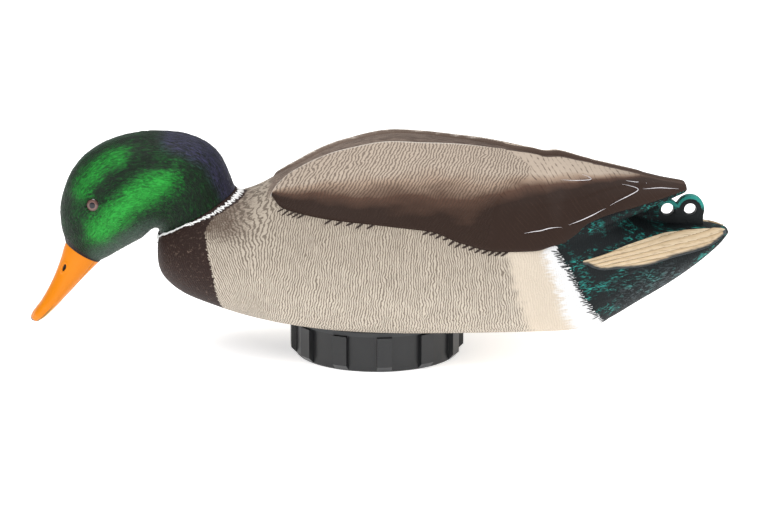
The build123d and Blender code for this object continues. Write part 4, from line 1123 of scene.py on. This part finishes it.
# %% Wing paint
def wing_paint():
    """Brushed acrylic over moulded feathers: dull, with a soft drift from buff to umber."""
    paint, tree, surface, place = new_paint("brushed_wing_acrylic", 0.62, Specular_IOR_Level=0.18)
    mark = {name: lay(tree, "ShaderNodeAttribute", attribute_name=name).outputs["Fac"]
            for name in ("barb", "from_ridge", "lobe", "shade", "strand", "strip", "tail_end")}
    cloud = stroke_noise(tree, place, (24, 14, 9), 3)
    shade = lay(tree, "ShaderNodeMath", {0: 1.0, 1: -0.25,
            2: lay(tree, "ShaderNodeMath", {0: cloud, 1: 0.5, 2: mark["shade"]},
            operation="MULTIPLY_ADD").outputs[0]}, operation="MULTIPLY_ADD").outputs[0]
    ground = lay(tree, "ShaderNodeValToRGB", {"Fac": shade},
            stops=[(0.0, tint("#BAAA9A")), (0.3, tint("#A18B79")), (0.65, tint("#573F33")),
            (1.0, tint("#2E1F18"))]).outputs[0]
    lobe_lines = wavy_lines(tree, place, mark["strand"], WING_LINE_MM, 1.5, -0.2, 0.8)
    lobe = ragged(tree, mark["lobe"], stroke_noise(tree, place, (3, 3, 3), 2), 4, 1.2)
    fade = lay(tree, "ShaderNodeMapRange", {"Value": shade, "From Min": 0.55, "From Max": 1.05,
            "To Min": 0.62, "To Max": 0.12}).outputs[0]
    on_lobe = lay(tree, "ShaderNodeMath", {0: lobe_lines, 1: lobe}, operation="MULTIPLY").outputs[0]
    line_share = lay(tree, "ShaderNodeMath", {0: on_lobe, 1: fade}, operation="MULTIPLY")
    colour = lay(tree, "ShaderNodeMix", {"Factor": line_share, "A": ground, "B": tint("#43342B")},
            data_type="RGBA").outputs[2]
    barb_push = stroke_noise(tree, place, (20, 20, 12), 1)
    barb_turn = lay(tree, "ShaderNodeMath", {0: barb_push, 1: 3.0, 2: mark["barb"]},
            operation="MULTIPLY_ADD").outputs[0]
    barb_wave = lay(tree, "ShaderNodeMath", {0: lay(tree, "ShaderNodeMath",
            {0: barb_turn, 1: 2 * pi / BARB_MM}, operation="MULTIPLY")}, operation="SINE").outputs[0]
    barb_some = lay(tree, "ShaderNodeMath", {0: stroke_noise(tree, place, (5, 5, 16), 2), 1: 2.4,
            2: barb_wave}, operation="MULTIPLY_ADD").outputs[0]
    barbs = lay(tree, "ShaderNodeMapRange", {"Value": barb_some, "From Min": 1.9, "From Max": 2.5}).outputs[0]
    behind = lay(tree, "ShaderNodeMath", {0: 1.0, 1: lobe}, operation="SUBTRACT").outputs[0]
    barb_share = lay(tree, "ShaderNodeMath", {0: barbs, 1: behind}, operation="MULTIPLY").outputs[0]
    colour = lay(tree, "ShaderNodeMix", {"Factor": lay(tree, "ShaderNodeMath", {0: barb_share, 1: 0.6},
            operation="MULTIPLY"), "A": colour, "B": tint("#3A2921")}, data_type="RGBA").outputs[2]
    # Painted highlight: a near-white band along the wing's ridge, on the front of the wing only.
    ridge = lay(tree, "ShaderNodeMapRange", {"Value": mark["from_ridge"], "From Min": 4.4,
            "From Max": 2.2, "To Min": 0.0, "To Max": 0.75}).outputs[0]
    along = lay(tree, "ShaderNodeSeparateXYZ", {0: place}).outputs["X"]
    ridge_highlight_front = lay(tree, "ShaderNodeMapRange",
            {"Value": along, "From Min": 95.0, "From Max": 55.0}).outputs[0]
    colour = lay(tree, "ShaderNodeMix", {"Factor": lay(tree, "ShaderNodeMath", {0: ridge, 1: ridge_highlight_front},
            operation="MULTIPLY"), "A": colour, "B": tint("#E6DDD3")}, data_type="RGBA").outputs[2]
    tail_dark = lay(tree, "ShaderNodeMath", {0: mark["tail_end"], 1: 0.7}, operation="MULTIPLY")
    colour = lay(tree, "ShaderNodeMix", {"Factor": tail_dark, "A": colour, "B": tint("#3A2A23")},
            data_type="RGBA").outputs[2]
    strip = ragged(tree, mark["strip"], stroke_noise(tree, place, (9, 1.8, 2.0), 2), 3, 0.8)
    toward_tail = lay(tree, "ShaderNodeMapRange",
            {"Value": along, "From Min": -20.0, "From Max": 130.0}).outputs[0]
    colour = lay(tree, "ShaderNodeMix", {"Factor": strip, "A": colour,
            "B": lay(tree, "ShaderNodeMix", {"Factor": toward_tail, "A": tint("#7A6A5F"),
            "B": tint("#49382F")}, data_type="RGBA").outputs[2]}, data_type="RGBA").outputs[2]
    tree.links.new(colour, surface.inputs["Base Color"])
    both = lay(tree, "ShaderNodeMath", {0: barb_share, 1: 0.8, 2: on_lobe},
            operation="MULTIPLY_ADD").outputs[0]
    soft = lay(tree, "ShaderNodeBump", {"Height": stroke_noise(tree, place, (9, 3, 2), 3, 0.6),
            "Distance": 0.18 * MM, "Strength": 1.0})
    bump = lay(tree, "ShaderNodeBump", {"Height": lay(tree, "ShaderNodeMath", {0: both, 1: -0.8},
            operation="MULTIPLY"), "Distance": 0.26 * MM, "Strength": 1.0, "Normal": soft})
    tree.links.new(bump.outputs[0], surface.inputs["Normal"])
    return paint


wing_finish = wing_paint()


# %% [markdown]
# Head paint. Pearl green acrylic over black: a painted highlight of bright green where the cheek and brow
# swell, painted shade nearly black in the groove, a painted violet sheen on the nape, and grey on chin and
# forehead.


# %% Head paint
def head_paint():
    """Pearl green acrylic: painted highlight where it faces the light, painted shade nearly black in the
    groove.
    """
    paint, tree, surface, place = new_paint("pearl_green_acrylic", 0.45, Specular_IOR_Level=0.22)
    mark = {name: lay(tree, "ShaderNodeAttribute", attribute_name=name).outputs["Fac"]
            for name in ("ash", "bill_root", "flow_a", "flow_b", "painted_sheen", "nape")}
    flow = lay(tree, "ShaderNodeCombineXYZ", {"X": mark["flow_a"], "Y": mark["flow_b"]}).outputs[0]
    down = stroke_noise(tree, flow, (4.2, 1.3, 1), 3, 1.5)
    patch = stroke_noise(tree, place, (11, 11, 11), 3)
    # Painted highlight on cheek and brow and painted shade in the groove, broken by the strokes of down.
    painted_sheen = lay(tree, "ShaderNodeMath", {0: patch, 1: 0.5,
            2: lay(tree, "ShaderNodeMath", {0: down, 1: 1.5,
            2: lay(tree, "ShaderNodeMath", {0: mark["painted_sheen"], 1: 0.86, 2: -0.98},
            operation="MULTIPLY_ADD").outputs[0]}, operation="MULTIPLY_ADD").outputs[0]},
            operation="MULTIPLY_ADD").outputs[0]
    colour = lay(tree, "ShaderNodeValToRGB", {"Fac": painted_sheen},
            stops=[(0.0, tint("#061A0B")), (0.3, tint("#0C3F17")), (0.62, tint("#147424")),
            (1.0, tint("#27A038"))]).outputs[0]
    ash_mask = lay(tree, "ShaderNodeMath", {0: mark["ash"], 1: down}, operation="MULTIPLY").outputs[0]
    colour = lay(tree, "ShaderNodeMix", {"Factor": lay(tree, "ShaderNodeMath", {0: ash_mask, 1: 1.3},
            operation="MULTIPLY"), "A": colour, "B": tint("#4A5F53")}, data_type="RGBA").outputs[2]
    # Painted sheen: violet strokes on the nape.
    violet = lay(tree, "ShaderNodeValToRGB", {"Fac": down},
            stops=[(0.35, tint("#0C1210")), (0.68, tint("#3B3A57"))]).outputs[0]
    nape = ragged(tree, mark["nape"], down, 0.8, 0.4, 0.55)
    colour = lay(tree, "ShaderNodeMix", {"Factor": nape, "A": colour, "B": violet},
            data_type="RGBA").outputs[2]
    seam = ragged(tree, lay(tree, "ShaderNodeMath", {0: BILL_SEAM_MM, 1: mark["bill_root"]},
            operation="SUBTRACT").outputs[0], down, 1.6, 0.3)
    colour = lay(tree, "ShaderNodeMix", {"Factor": seam, "A": colour, "B": tint("#141414")},
            data_type="RGBA").outputs[2]
    tree.links.new(colour, surface.inputs["Base Color"])
    bump = lay(tree, "ShaderNodeBump", {"Height": down, "Distance": 1.1 * MM, "Strength": 1.0})
    tree.links.new(bump.outputs[0], surface.inputs["Normal"])
    return paint


head_finish = head_paint()


# %% [markdown]
# The smaller finishes: glossy bill enamel, the lacquered eye, cream tail feathers, black curls with a
# painted teal highlight, and one plain paint for dabs and hairlines.


# %% Bill, eye, tail and curl paint
def bill_paint():
    """Sprayed enamel: an even orange with a low satin shine."""
    paint, tree, surface, place = new_paint("bill_enamel", 0.34, Specular_IOR_Level=0.25)
    mark = {name: lay(tree, "ShaderNodeAttribute", attribute_name=name).outputs["Fac"]
            for name in ("edge", "gape", "hole", "share")}
    streak = stroke_noise(tree, place, (5, 2, 9), 2)
    colour = lay(tree, "ShaderNodeMix", {"Factor": lay(tree, "ShaderNodeMath", {0: streak, 1: 0.35},
            operation="MULTIPLY"), "A": tint("#E28200"), "B": tint("#CC7200")},
            data_type="RGBA").outputs[2]
    under = ragged(tree, mark["edge"], streak, 1.0, 0.5)
    far = lay(tree, "ShaderNodeMapRange", {"Value": mark["share"], "From Min": 0.68,
            "From Max": 0.8}).outputs[0]
    colour = lay(tree, "ShaderNodeMix", {"Factor": lay(tree, "ShaderNodeMath", {0: under, 1: far},
            operation="MULTIPLY"), "A": colour, "B": tint("#C99A52")}, data_type="RGBA").outputs[2]
    crease = lay(tree, "ShaderNodeMath", {0: mark["edge"]}, operation="ABSOLUTE").outputs[0]
    line = lay(tree, "ShaderNodeMapRange", {"Value": crease, "From Min": 0.9, "From Max": 0.2}).outputs[0]
    colour = lay(tree, "ShaderNodeMix", {"Factor": lay(tree, "ShaderNodeMath", {0: line, 1: far},
            operation="MULTIPLY"), "A": colour, "B": tint("#5A4320")}, data_type="RGBA").outputs[2]
    gape = lay(tree, "ShaderNodeMath", {0: mark["gape"]}, operation="ABSOLUTE").outputs[0]
    slit = lay(tree, "ShaderNodeMapRange", {"Value": gape, "From Min": 0.5, "From Max": 0.1,
            "To Max": 0.75}).outputs[0]
    near = lay(tree, "ShaderNodeMapRange", {"Value": mark["share"], "From Min": 0.6,
            "From Max": 0.5}).outputs[0]
    colour = lay(tree, "ShaderNodeMix", {"Factor": lay(tree, "ShaderNodeMath", {0: slit, 1: near},
            operation="MULTIPLY"), "A": colour, "B": tint("#9A5E00")}, data_type="RGBA").outputs[2]
    hole = lay(tree, "ShaderNodeMapRange", {"Value": mark["hole"], "From Min": 1.0,
            "From Max": 0.8}).outputs[0]
    colour = lay(tree, "ShaderNodeMix", {"Factor": hole, "A": colour, "B": tint("#1A1512")},
            data_type="RGBA").outputs[2]
    tip = lay(tree, "ShaderNodeMapRange", {"Value": mark["share"], "From Min": 0.975,
            "From Max": 0.99}).outputs[0]
    colour = lay(tree, "ShaderNodeMix", {"Factor": tip, "A": colour, "B": tint("#2B2622")},
            data_type="RGBA").outputs[2]
    tree.links.new(colour, surface.inputs["Base Color"])
    bump = lay(tree, "ShaderNodeBump", {"Height": streak, "Distance": 0.08 * MM, "Strength": 1.0})
    tree.links.new(bump.outputs[0], surface.inputs["Normal"])
    return paint


def eye_paint():
    """Lacquer over a painted eye: the only sharp highlight on the decoy."""
    paint, tree, surface, place = new_paint("lacquered_eye", 0.1, Specular_IOR_Level=0.5)
    mark = {name: lay(tree, "ShaderNodeAttribute", attribute_name=name).outputs["Fac"] for name in ("ring",)}
    rays = stroke_noise(tree, place, (0.7, 0.7, 0.7), 2)
    ring = lay(tree, "ShaderNodeMath", {0: rays, 1: 0.7, 2: mark["ring"]},
            operation="MULTIPLY_ADD").outputs[0]
    colour = lay(tree, "ShaderNodeValToRGB",
            {"Fac": lay(tree, "ShaderNodeMath", {0: ring, 1: 0.18}, operation="MULTIPLY")},
            stops=[(0.0, tint("#07080C")), (0.43, tint("#15161F")), (0.5, tint("#7A5D55")),
            (0.74, tint("#573F39")), (0.86, tint("#2A1714")), (1.0, tint("#0D1A10"))]).outputs[0]
    tree.links.new(colour, surface.inputs["Base Color"])
    bump = lay(tree, "ShaderNodeBump", {"Height": rays, "Distance": 0.01 * MM, "Strength": 1.0})
    tree.links.new(bump.outputs[0], surface.inputs["Normal"])
    return paint


def tail_paint():
    """Cream acrylic drawn along the feathers: fine lines and grey tips."""
    paint, tree, surface, place = new_paint("cream_tail_acrylic", 0.62, Specular_IOR_Level=0.2)
    mark = {name: lay(tree, "ShaderNodeAttribute", attribute_name=name).outputs["Fac"]
            for name in ("feather", "from_low", "past_tip")}
    grain_lines = stroke_noise(tree, place, (16, 3, 0.9), 3)
    share = lay(tree, "ShaderNodeMath", {0: mark["feather"]}, operation="FRACT").outputs[0]
    feather = lay(tree, "ShaderNodeValToRGB", {"Fac": share},
            stops=[(0.0, tint("#77634D")), (0.12, tint("#BFA684")), (0.5, tint("#D4BE9E")),
            (1.0, tint("#DFCDB0"))]).outputs[0]
    colour = lay(tree, "ShaderNodeMix", {"Factor": lay(tree, "ShaderNodeMapRange",
            {"Value": grain_lines, "From Min": 0.5, "From Max": 0.72, "To Max": 0.5}), "A": feather,
            "B": tint("#937A5A")}, data_type="RGBA").outputs[2]
    low = ragged(tree, lay(tree, "ShaderNodeMath", {0: 2.2, 1: mark["from_low"]},
            operation="SUBTRACT").outputs[0], grain_lines, 2.5, 1.2)
    colour = lay(tree, "ShaderNodeMix", {"Factor": low, "A": colour, "B": tint("#3A3E40")},
            data_type="RGBA").outputs[2]
    tip = ragged(tree, mark["past_tip"], grain_lines, 1.0, 0.4)
    colour = lay(tree, "ShaderNodeMix", {"Factor": tip, "A": colour, "B": tint("#4E5356")},
            data_type="RGBA").outputs[2]
    tree.links.new(colour, surface.inputs["Base Color"])
    bump = lay(tree, "ShaderNodeBump", {"Height": grain_lines, "Distance": 0.2 * MM, "Strength": 1.0})
    tree.links.new(bump.outputs[0], surface.inputs["Normal"])
    return paint


def curl_paint():
    """Black acrylic with a painted teal highlight on the top of each loop."""
    paint, tree, surface, place = new_paint("black_acrylic_teal_highlight", 0.5, Specular_IOR_Level=0.25)
    mark = {name: lay(tree, "ShaderNodeAttribute", attribute_name=name).outputs["Fac"] for name in ("lit",)}
    hair = stroke_noise(tree, place, (1.6, 3, 1.6), 2, 1.5)
    # Painted highlight: teal along the top of each loop.
    lit = ragged(tree, mark["lit"], hair, 1.2, 0.2, 0.62)
    colour = lay(tree, "ShaderNodeMix", {"Factor": lit, "A": tint("#12181A"), "B": tint("#2B8F86")},
            data_type="RGBA").outputs[2]
    tree.links.new(colour, surface.inputs["Base Color"])
    bump = lay(tree, "ShaderNodeBump", {"Height": hair, "Distance": 0.25 * MM, "Strength": 1.0})
    tree.links.new(bump.outputs[0], surface.inputs["Normal"])
    return paint


def plain_paint(name, code, darker, roughness):
    """Thick brush acrylic of one colour, slightly uneven."""
    paint, tree, surface, place = new_paint(name, roughness, Specular_IOR_Level=0.35)
    speck = stroke_noise(tree, place, (1.1, 1.1, 1.1), 3)
    tree.links.new(lay(tree, "ShaderNodeMix", {"Factor": speck, "A": tint(code), "B": tint(darker)},
            data_type="RGBA").outputs[2], surface.inputs["Base Color"])
    bump = lay(tree, "ShaderNodeBump", {"Height": speck, "Distance": 0.1 * MM, "Strength": 1.0})
    tree.links.new(bump.outputs[0], surface.inputs["Normal"])
    return paint


bill_finish, eye_finish, tail_finish, curl_finish = bill_paint(), eye_paint(), tail_paint(), curl_paint()
white_dab = plain_paint("thick_white_acrylic", "#FFFFFF", "#E9EAE8", 0.5)
dark_dab = plain_paint("umber_acrylic", "#3A2A22", "#241914", 0.6)
black_dab = plain_paint("black_acrylic", "#14181A", "#20282A", 0.55)
print("finishes", len(bpy.data.materials))

# %% Lay the dabs
skin_tree = BVHTree.FromObject(body_skin, bpy.context.evaluated_depsgraph_get())


def on_skin(place, ahead, lift=0.1):
    """The nearest spot on the body skin, with its outward and ahead directions."""
    spot, out, _, _ = skin_tree.find_nearest(Vector(np.array(place) * MM))
    out = np.array(out)
    return np.array(spot) / MM + out * lift, out, np.array(ahead, float)


def neck_ring_spots():
    spots = []
    picker = np.random.default_rng(7)
    for turn in np.linspace(0, 2 * pi, 118, endpoint=False):
        outward = collar_along * cos(turn) + np.array([0, 1, 0]) * sin(turn)
        depth = -2.8 + picker.uniform(-0.6, 0.6)
        place = collar_middle + outward * (collar_radius + 2.5) + collar_up * depth
        lean = -collar_up + 0.35 * np.array([1, 0, 0])
        spots.append(on_skin(place, lean, 0.35))
    return spots


neck_ring = lay_dabs("neck_ring", neck_ring_spots(), 6.2, 1.4, 1.2, 0.75, 3, white_dab)


def wing_edge_spots(side):
    spots = []
    zones = ((-66, -52, 5), (-33, -4, 5), (34, 88, 13))
    for first, last, count in zones:
        for x in np.linspace(first, last, count):
            form = [np.array([line(x)]) for line in hull_lines]
            turn = turn_at(form, wing_edge(np.array([x])) - 1.0)
            across, height = section(form, turn)
            spots.append(on_skin((x, side * float(across[0]), float(height[0])), (-0.85, 0, -0.5), 0.25))
    return spots


wing_barbs = lay_dabs("wing_barbs", wing_edge_spots(-1) + wing_edge_spots(1), 8.0, 1.5, 0.9, 0.3, 5, dark_dab)


def rump_spots(side):
    spots = []
    picker = np.random.default_rng(9)
    for z in np.linspace(27, 92, 44):
        x = float(rump_edge(z)) - 1.2 + picker.uniform(-1.0, 1.0)
        form = [np.array([line(x)]) for line in hull_lines]
        across, height = section(form, turn_at(form, np.array([z])))
        spots.append(on_skin((x, side * float(across[0]), float(height[0])), (-1, 0, 0.25), 0.15))
    return spots


rump_dabs = lay_dabs("rump_dabs", rump_spots(-1) + rump_spots(1), 6.0, 0.8, 0.5, 0.35, 6, black_dab)
print("dabs", len(neck_ring.data.vertices), len(wing_barbs.data.vertices), len(rump_dabs.data.vertices))

# %% [markdown]
# Hairlines. The painter edges the long wing feathers with a few thin white lines. Each is a thin tapered
# bead of paint that follows the wing's surface.

# %% Feather hairlines
hairlines = [
    [(101.5, 106.2), (114, 107.1), (127, 108.5)],
    [(132.5, 110.2), (146, 112.9), (159, 117.3)],
    [(162.6, 118.7), (174, 122.1), (185.8, 125.2), (180, 127.6), (172.5, 129.6)],
    [(128.6, 136), (140, 134.5), (151.9, 133.4), (149, 135.2), (143.4, 137.1)],
    [(175.4, 130.8), (191, 127.6)],
    [(187, 125.3), (201, 124.3), (214, 122.4)],
]
wing_x, wing_points, wing_from_ridge, wing_from_edge, wing_normals = wing_grid()
wing_top = wing_points + wing_normals * wing_relief(wing_x, wing_points, wing_from_ridge,
        wing_from_edge)[..., None]
wing_flat = side_view(wing_top).reshape(-1, 2)


def hairline_points(line, side):
    line = np.array(line, float)
    run = np.concatenate([[0], np.cumsum(np.linalg.norm(np.diff(line, axis=0), axis=1))])
    steps = np.linspace(0, run[-1], max(int(run[-1] / 1.5), 6))
    path = np.stack([np.interp(steps, run, line[:, k]) for k in (0, 1)], -1)
    nearest = [int(np.argmin(np.linalg.norm(wing_flat - p, axis=1))) for p in path]
    spots = wing_top.reshape(-1, 3)[nearest] + wing_normals.reshape(-1, 3)[nearest] * 0.25
    for _ in range(3):
        spots[1:-1] = (spots[:-2] + spots[1:-1] + spots[2:]) / 3
    return spots * np.array([1, side, 1])


def bead_line(gather, points, thick):
    """A thin closed bead along points."""
    around = 6
    ahead = np.gradient(points, axis=0)
    ahead /= np.maximum(np.linalg.norm(ahead, axis=1, keepdims=True), 1e-9)
    side = np.cross(ahead, [0, 0, 1.0])
    side /= np.maximum(np.linalg.norm(side, axis=1, keepdims=True), 1e-9)
    up = np.cross(side, ahead)
    taper = np.clip(np.sin(pi * np.linspace(0.04, 0.96, len(points))), 0.2, 1)[:, None, None] * thick
    turn = np.linspace(0, 2 * pi, around, endpoint=False)[None, :, None]
    rings = points[:, None] + taper * (np.cos(turn) * side[:, None] + np.sin(turn) * up[:, None])
    verts = [gather.verts.new(p) for p in (rings.reshape(-1, 3) * MM).tolist()]
    for face in tube_faces(len(points), around):
        gather.faces.new([verts[k] for k in face])


gather = bmesh.new()
for side in (-1, 1):
    for line in hairlines:
        bead_line(gather, hairline_points(line, side), 0.3)
bmesh.ops.recalc_face_normals(gather, faces=gather.faces)
hairline_mesh = bpy.data.meshes.new("feather_hairlines")
gather.to_mesh(hairline_mesh)
gather.free()
hairline_mesh.shade_smooth()
feather_hairlines = bpy.data.objects.new("feather_hairlines", hairline_mesh)
scene.collection.objects.link(feather_hairlines)
feather_hairlines["rides"] = "decoy_body"
hairline_white = plain_paint("fine_white_line", "#F4F1F4", "#D9D4DA", 0.5)
print("hairlines", len(hairlines), "on each side")

# %% [markdown]
# ## Working parts
#
# The cap, the can and the shaker keep their CAD shapes. They only need true finishes: moulded plastics with
# a spark-eroded grain, turned steel, brass and rubber. One recipe serves them, with its own numbers for
# each, because they differ in colour, gloss and grain but not in kind.


# %% Finishes of the working parts
def worked_finish(name, code, second, roughness, grain_mm, depth_mm, metallic=0.0):
    """A moulded or machined surface: slight colour drift, grain of a real size and a matching bump."""
    paint, tree, surface, place = new_paint(name, roughness, Metallic=metallic)
    drift = stroke_noise(tree, place, (30, 30, 30), 2)
    fine = stroke_noise(tree, place, grain_mm, 4)
    blend = lay(tree, "ShaderNodeMath", {0: drift, 1: fine}, operation="MULTIPLY")
    tree.links.new(lay(tree, "ShaderNodeMix", {"Factor": blend, "A": tint(code), "B": tint(second)},
            data_type="RGBA").outputs[2], surface.inputs["Base Color"])
    rough = lay(tree, "ShaderNodeMapRange", {"Value": fine, "To Min": roughness - 0.06,
            "To Max": roughness + 0.08})
    tree.links.new(rough.outputs[0], surface.inputs["Roughness"])
    bump = lay(tree, "ShaderNodeBump", {"Height": fine, "Distance": depth_mm * MM, "Strength": 1.0})
    tree.links.new(bump.outputs[0], surface.inputs["Normal"])
    return paint


worked = {"cap_plastic": worked_finish("moulded_black_polypropylene", "#17181A", "#2A2C2F", 0.34,
        (0.9, 0.9, 0.9), 0.03), "well_plastic": worked_finish("moulded_grey_abs", "#2B2D30", "#3A3D40",
        0.42, (0.8, 0.8, 0.8), 0.03), "tray_plastic": worked_finish("moulded_tray_abs", "#33363A",
        "#45494E", 0.45, (0.8, 0.8, 0.8), 0.03),
        "seal_rubber": worked_finish("cut_nitrile_rubber", "#1C1C1C", "#2C2B2A", 0.7, (0.6, 0.6, 0.6),
        0.04), "steel_screw": worked_finish("zinc_plated_steel", "#C9CCD0", "#A9ADB2", 0.28,
        (1.5, 1.5, 0.3), 0.01, 1.0), "contact_brass": worked_finish("rolled_brass_strip", "#C9A24A",
        "#B08A3C", 0.3, (4, 0.3, 4), 0.01, 1.0),
        "cell_sleeve": worked_finish("shrink_sleeve", "#30486A", "#25395A", 0.3, (3, 3, 8), 0.02),
        "motor_steel": worked_finish("drawn_steel_can", "#B9BCBF", "#9DA1A5", 0.3, (3, 3, 0.4), 0.01,
        1.0), "rotor_iron": worked_finish("stacked_iron_plates", "#6A6560", "#4F4B47", 0.5, (3, 3, 0.4),
        0.03, 1.0), "weight_metal": worked_finish("cast_zinc_weight", "#A6A8A8", "#8C8F90", 0.42,
        (0.9, 0.9, 0.9), 0.04, 1.0), "switch_plastic": worked_finish("moulded_nylon_switch", "#151515",
        "#242424", 0.4, (0.7, 0.7, 0.7), 0.02),
        "lead_red": worked_finish("red_pvc_lead", "#B3201C", "#96140F", 0.4, (1, 1, 3), 0.02),
        "lead_black": worked_finish("black_pvc_lead", "#161616", "#262626", 0.4, (1, 1, 3), 0.02),
        "pivot_plastic": worked_finish("turned_acetal", "#E8E6DF", "#D5D2C8", 0.35, (4, 4, 0.4), 0.02),}
# %% Dress the working parts
slot_by_node = {
    "battery_well": "well_plastic", "well_gasket": "seal_rubber", "well_screws": "steel_screw",
    "base_cap": "cap_plastic", "cap_seal": "seal_rubber", "motor_tray": "tray_plastic",
    "tray_cover": "tray_plastic", "cover_screws": "steel_screw", "battery_cells": "cell_sleeve",
    "lower_contacts": "contact_brass", "upper_contacts": "contact_brass", "motor_can": "motor_steel",
    "motor_end_cap": "switch_plastic", "motor_screws": "steel_screw", "motor_shaft": "steel_screw",
    "motor_rotor": "rotor_iron", "eccentric_weight": "weight_metal", "weight_screw": "steel_screw",
    "switch_housing": "switch_plastic", "switch_rocker": "switch_plastic", "red_lead": "lead_red",
    "black_lead": "lead_black", "neck_pivot": "pivot_plastic", "neck_retaining_ring": "steel_screw",
    "neck_washer": "pivot_plastic",
}
for node_name, slot_name in slot_by_node.items():
    node = frame["nodes"][node_name]
    if not node.data.materials:
        node.data.materials.append(worked[slot_name])
    for holder in node.material_slots:
        holder.material = worked[slot_name]
print("dressed", len(slot_by_node), "working parts")

# %% [markdown]
# ## Floor and finish
#
# The floor is a wide white sheet that glows a little, like a lit studio sweep, so that the decoy stands on
# white with only a breath of shadow under its cap. Then every piece is tied to the body it moves with.


# %% Floor
def sweep_paint():
    """White studio sheet, lit so that it has no tone of its own."""
    paint, tree, surface, place = new_paint("white_studio_sweep", 0.9, Specular_IOR_Level=0.1)
    fleck = stroke_noise(tree, place, (60, 60, 60), 2)
    tree.links.new(lay(tree, "ShaderNodeMix",
            {"Factor": fleck, "A": tint("#FFFFFF"), "B": tint("#FCFCFC")}, data_type="RGBA").outputs[2],
            surface.inputs["Base Color"])
    surface.inputs["Emission Color"].default_value = (1, 1, 1, 1)
    surface.inputs["Emission Strength"].default_value = 0.6
    return paint


floor_mesh = bpy.data.meshes.new("floor")
reach = 12.0
floor_mesh.from_pydata([(-reach, -reach, 0), (reach, -reach, 0), (reach, reach, 0), (-reach, reach, 0)],
        [], [(0, 1, 2, 3)])
floor = bpy.data.objects.new("floor", floor_mesh)
floor.data.materials.append(sweep_paint())
scene.collection.objects.link(floor)
print("floor", reach * 2, "m wide")

# %% Tie every piece to its body
finish_piece(body_skin, body_finish, "body_skin", "body_shell")
finish_piece(right_wing, wing_finish, "body_skin")
finish_piece(left_wing, wing_finish, "body_skin")
finish_piece(right_tail, tail_finish, "body_skin")
finish_piece(left_tail, tail_finish, "body_skin")
finish_piece(neck_ring, white_dab, "body_skin")
finish_piece(wing_barbs, dark_dab, "body_skin")
finish_piece(rump_dabs, black_dab, "body_skin")
finish_piece(feather_hairlines, hairline_white, "body_skin")
finish_piece(tail_curls_skin, curl_finish, "curl_plastic", "tail_curls")
finish_piece(head_skin, head_finish, "head_skin", "head_shell")
finish_piece(bill_skin, bill_finish, "bill_plastic", "bill")
finish_piece(right_eye, eye_finish, "eye_glass", "right_eye")
finish_piece(left_eye, eye_finish, "eye_glass", "left_eye")
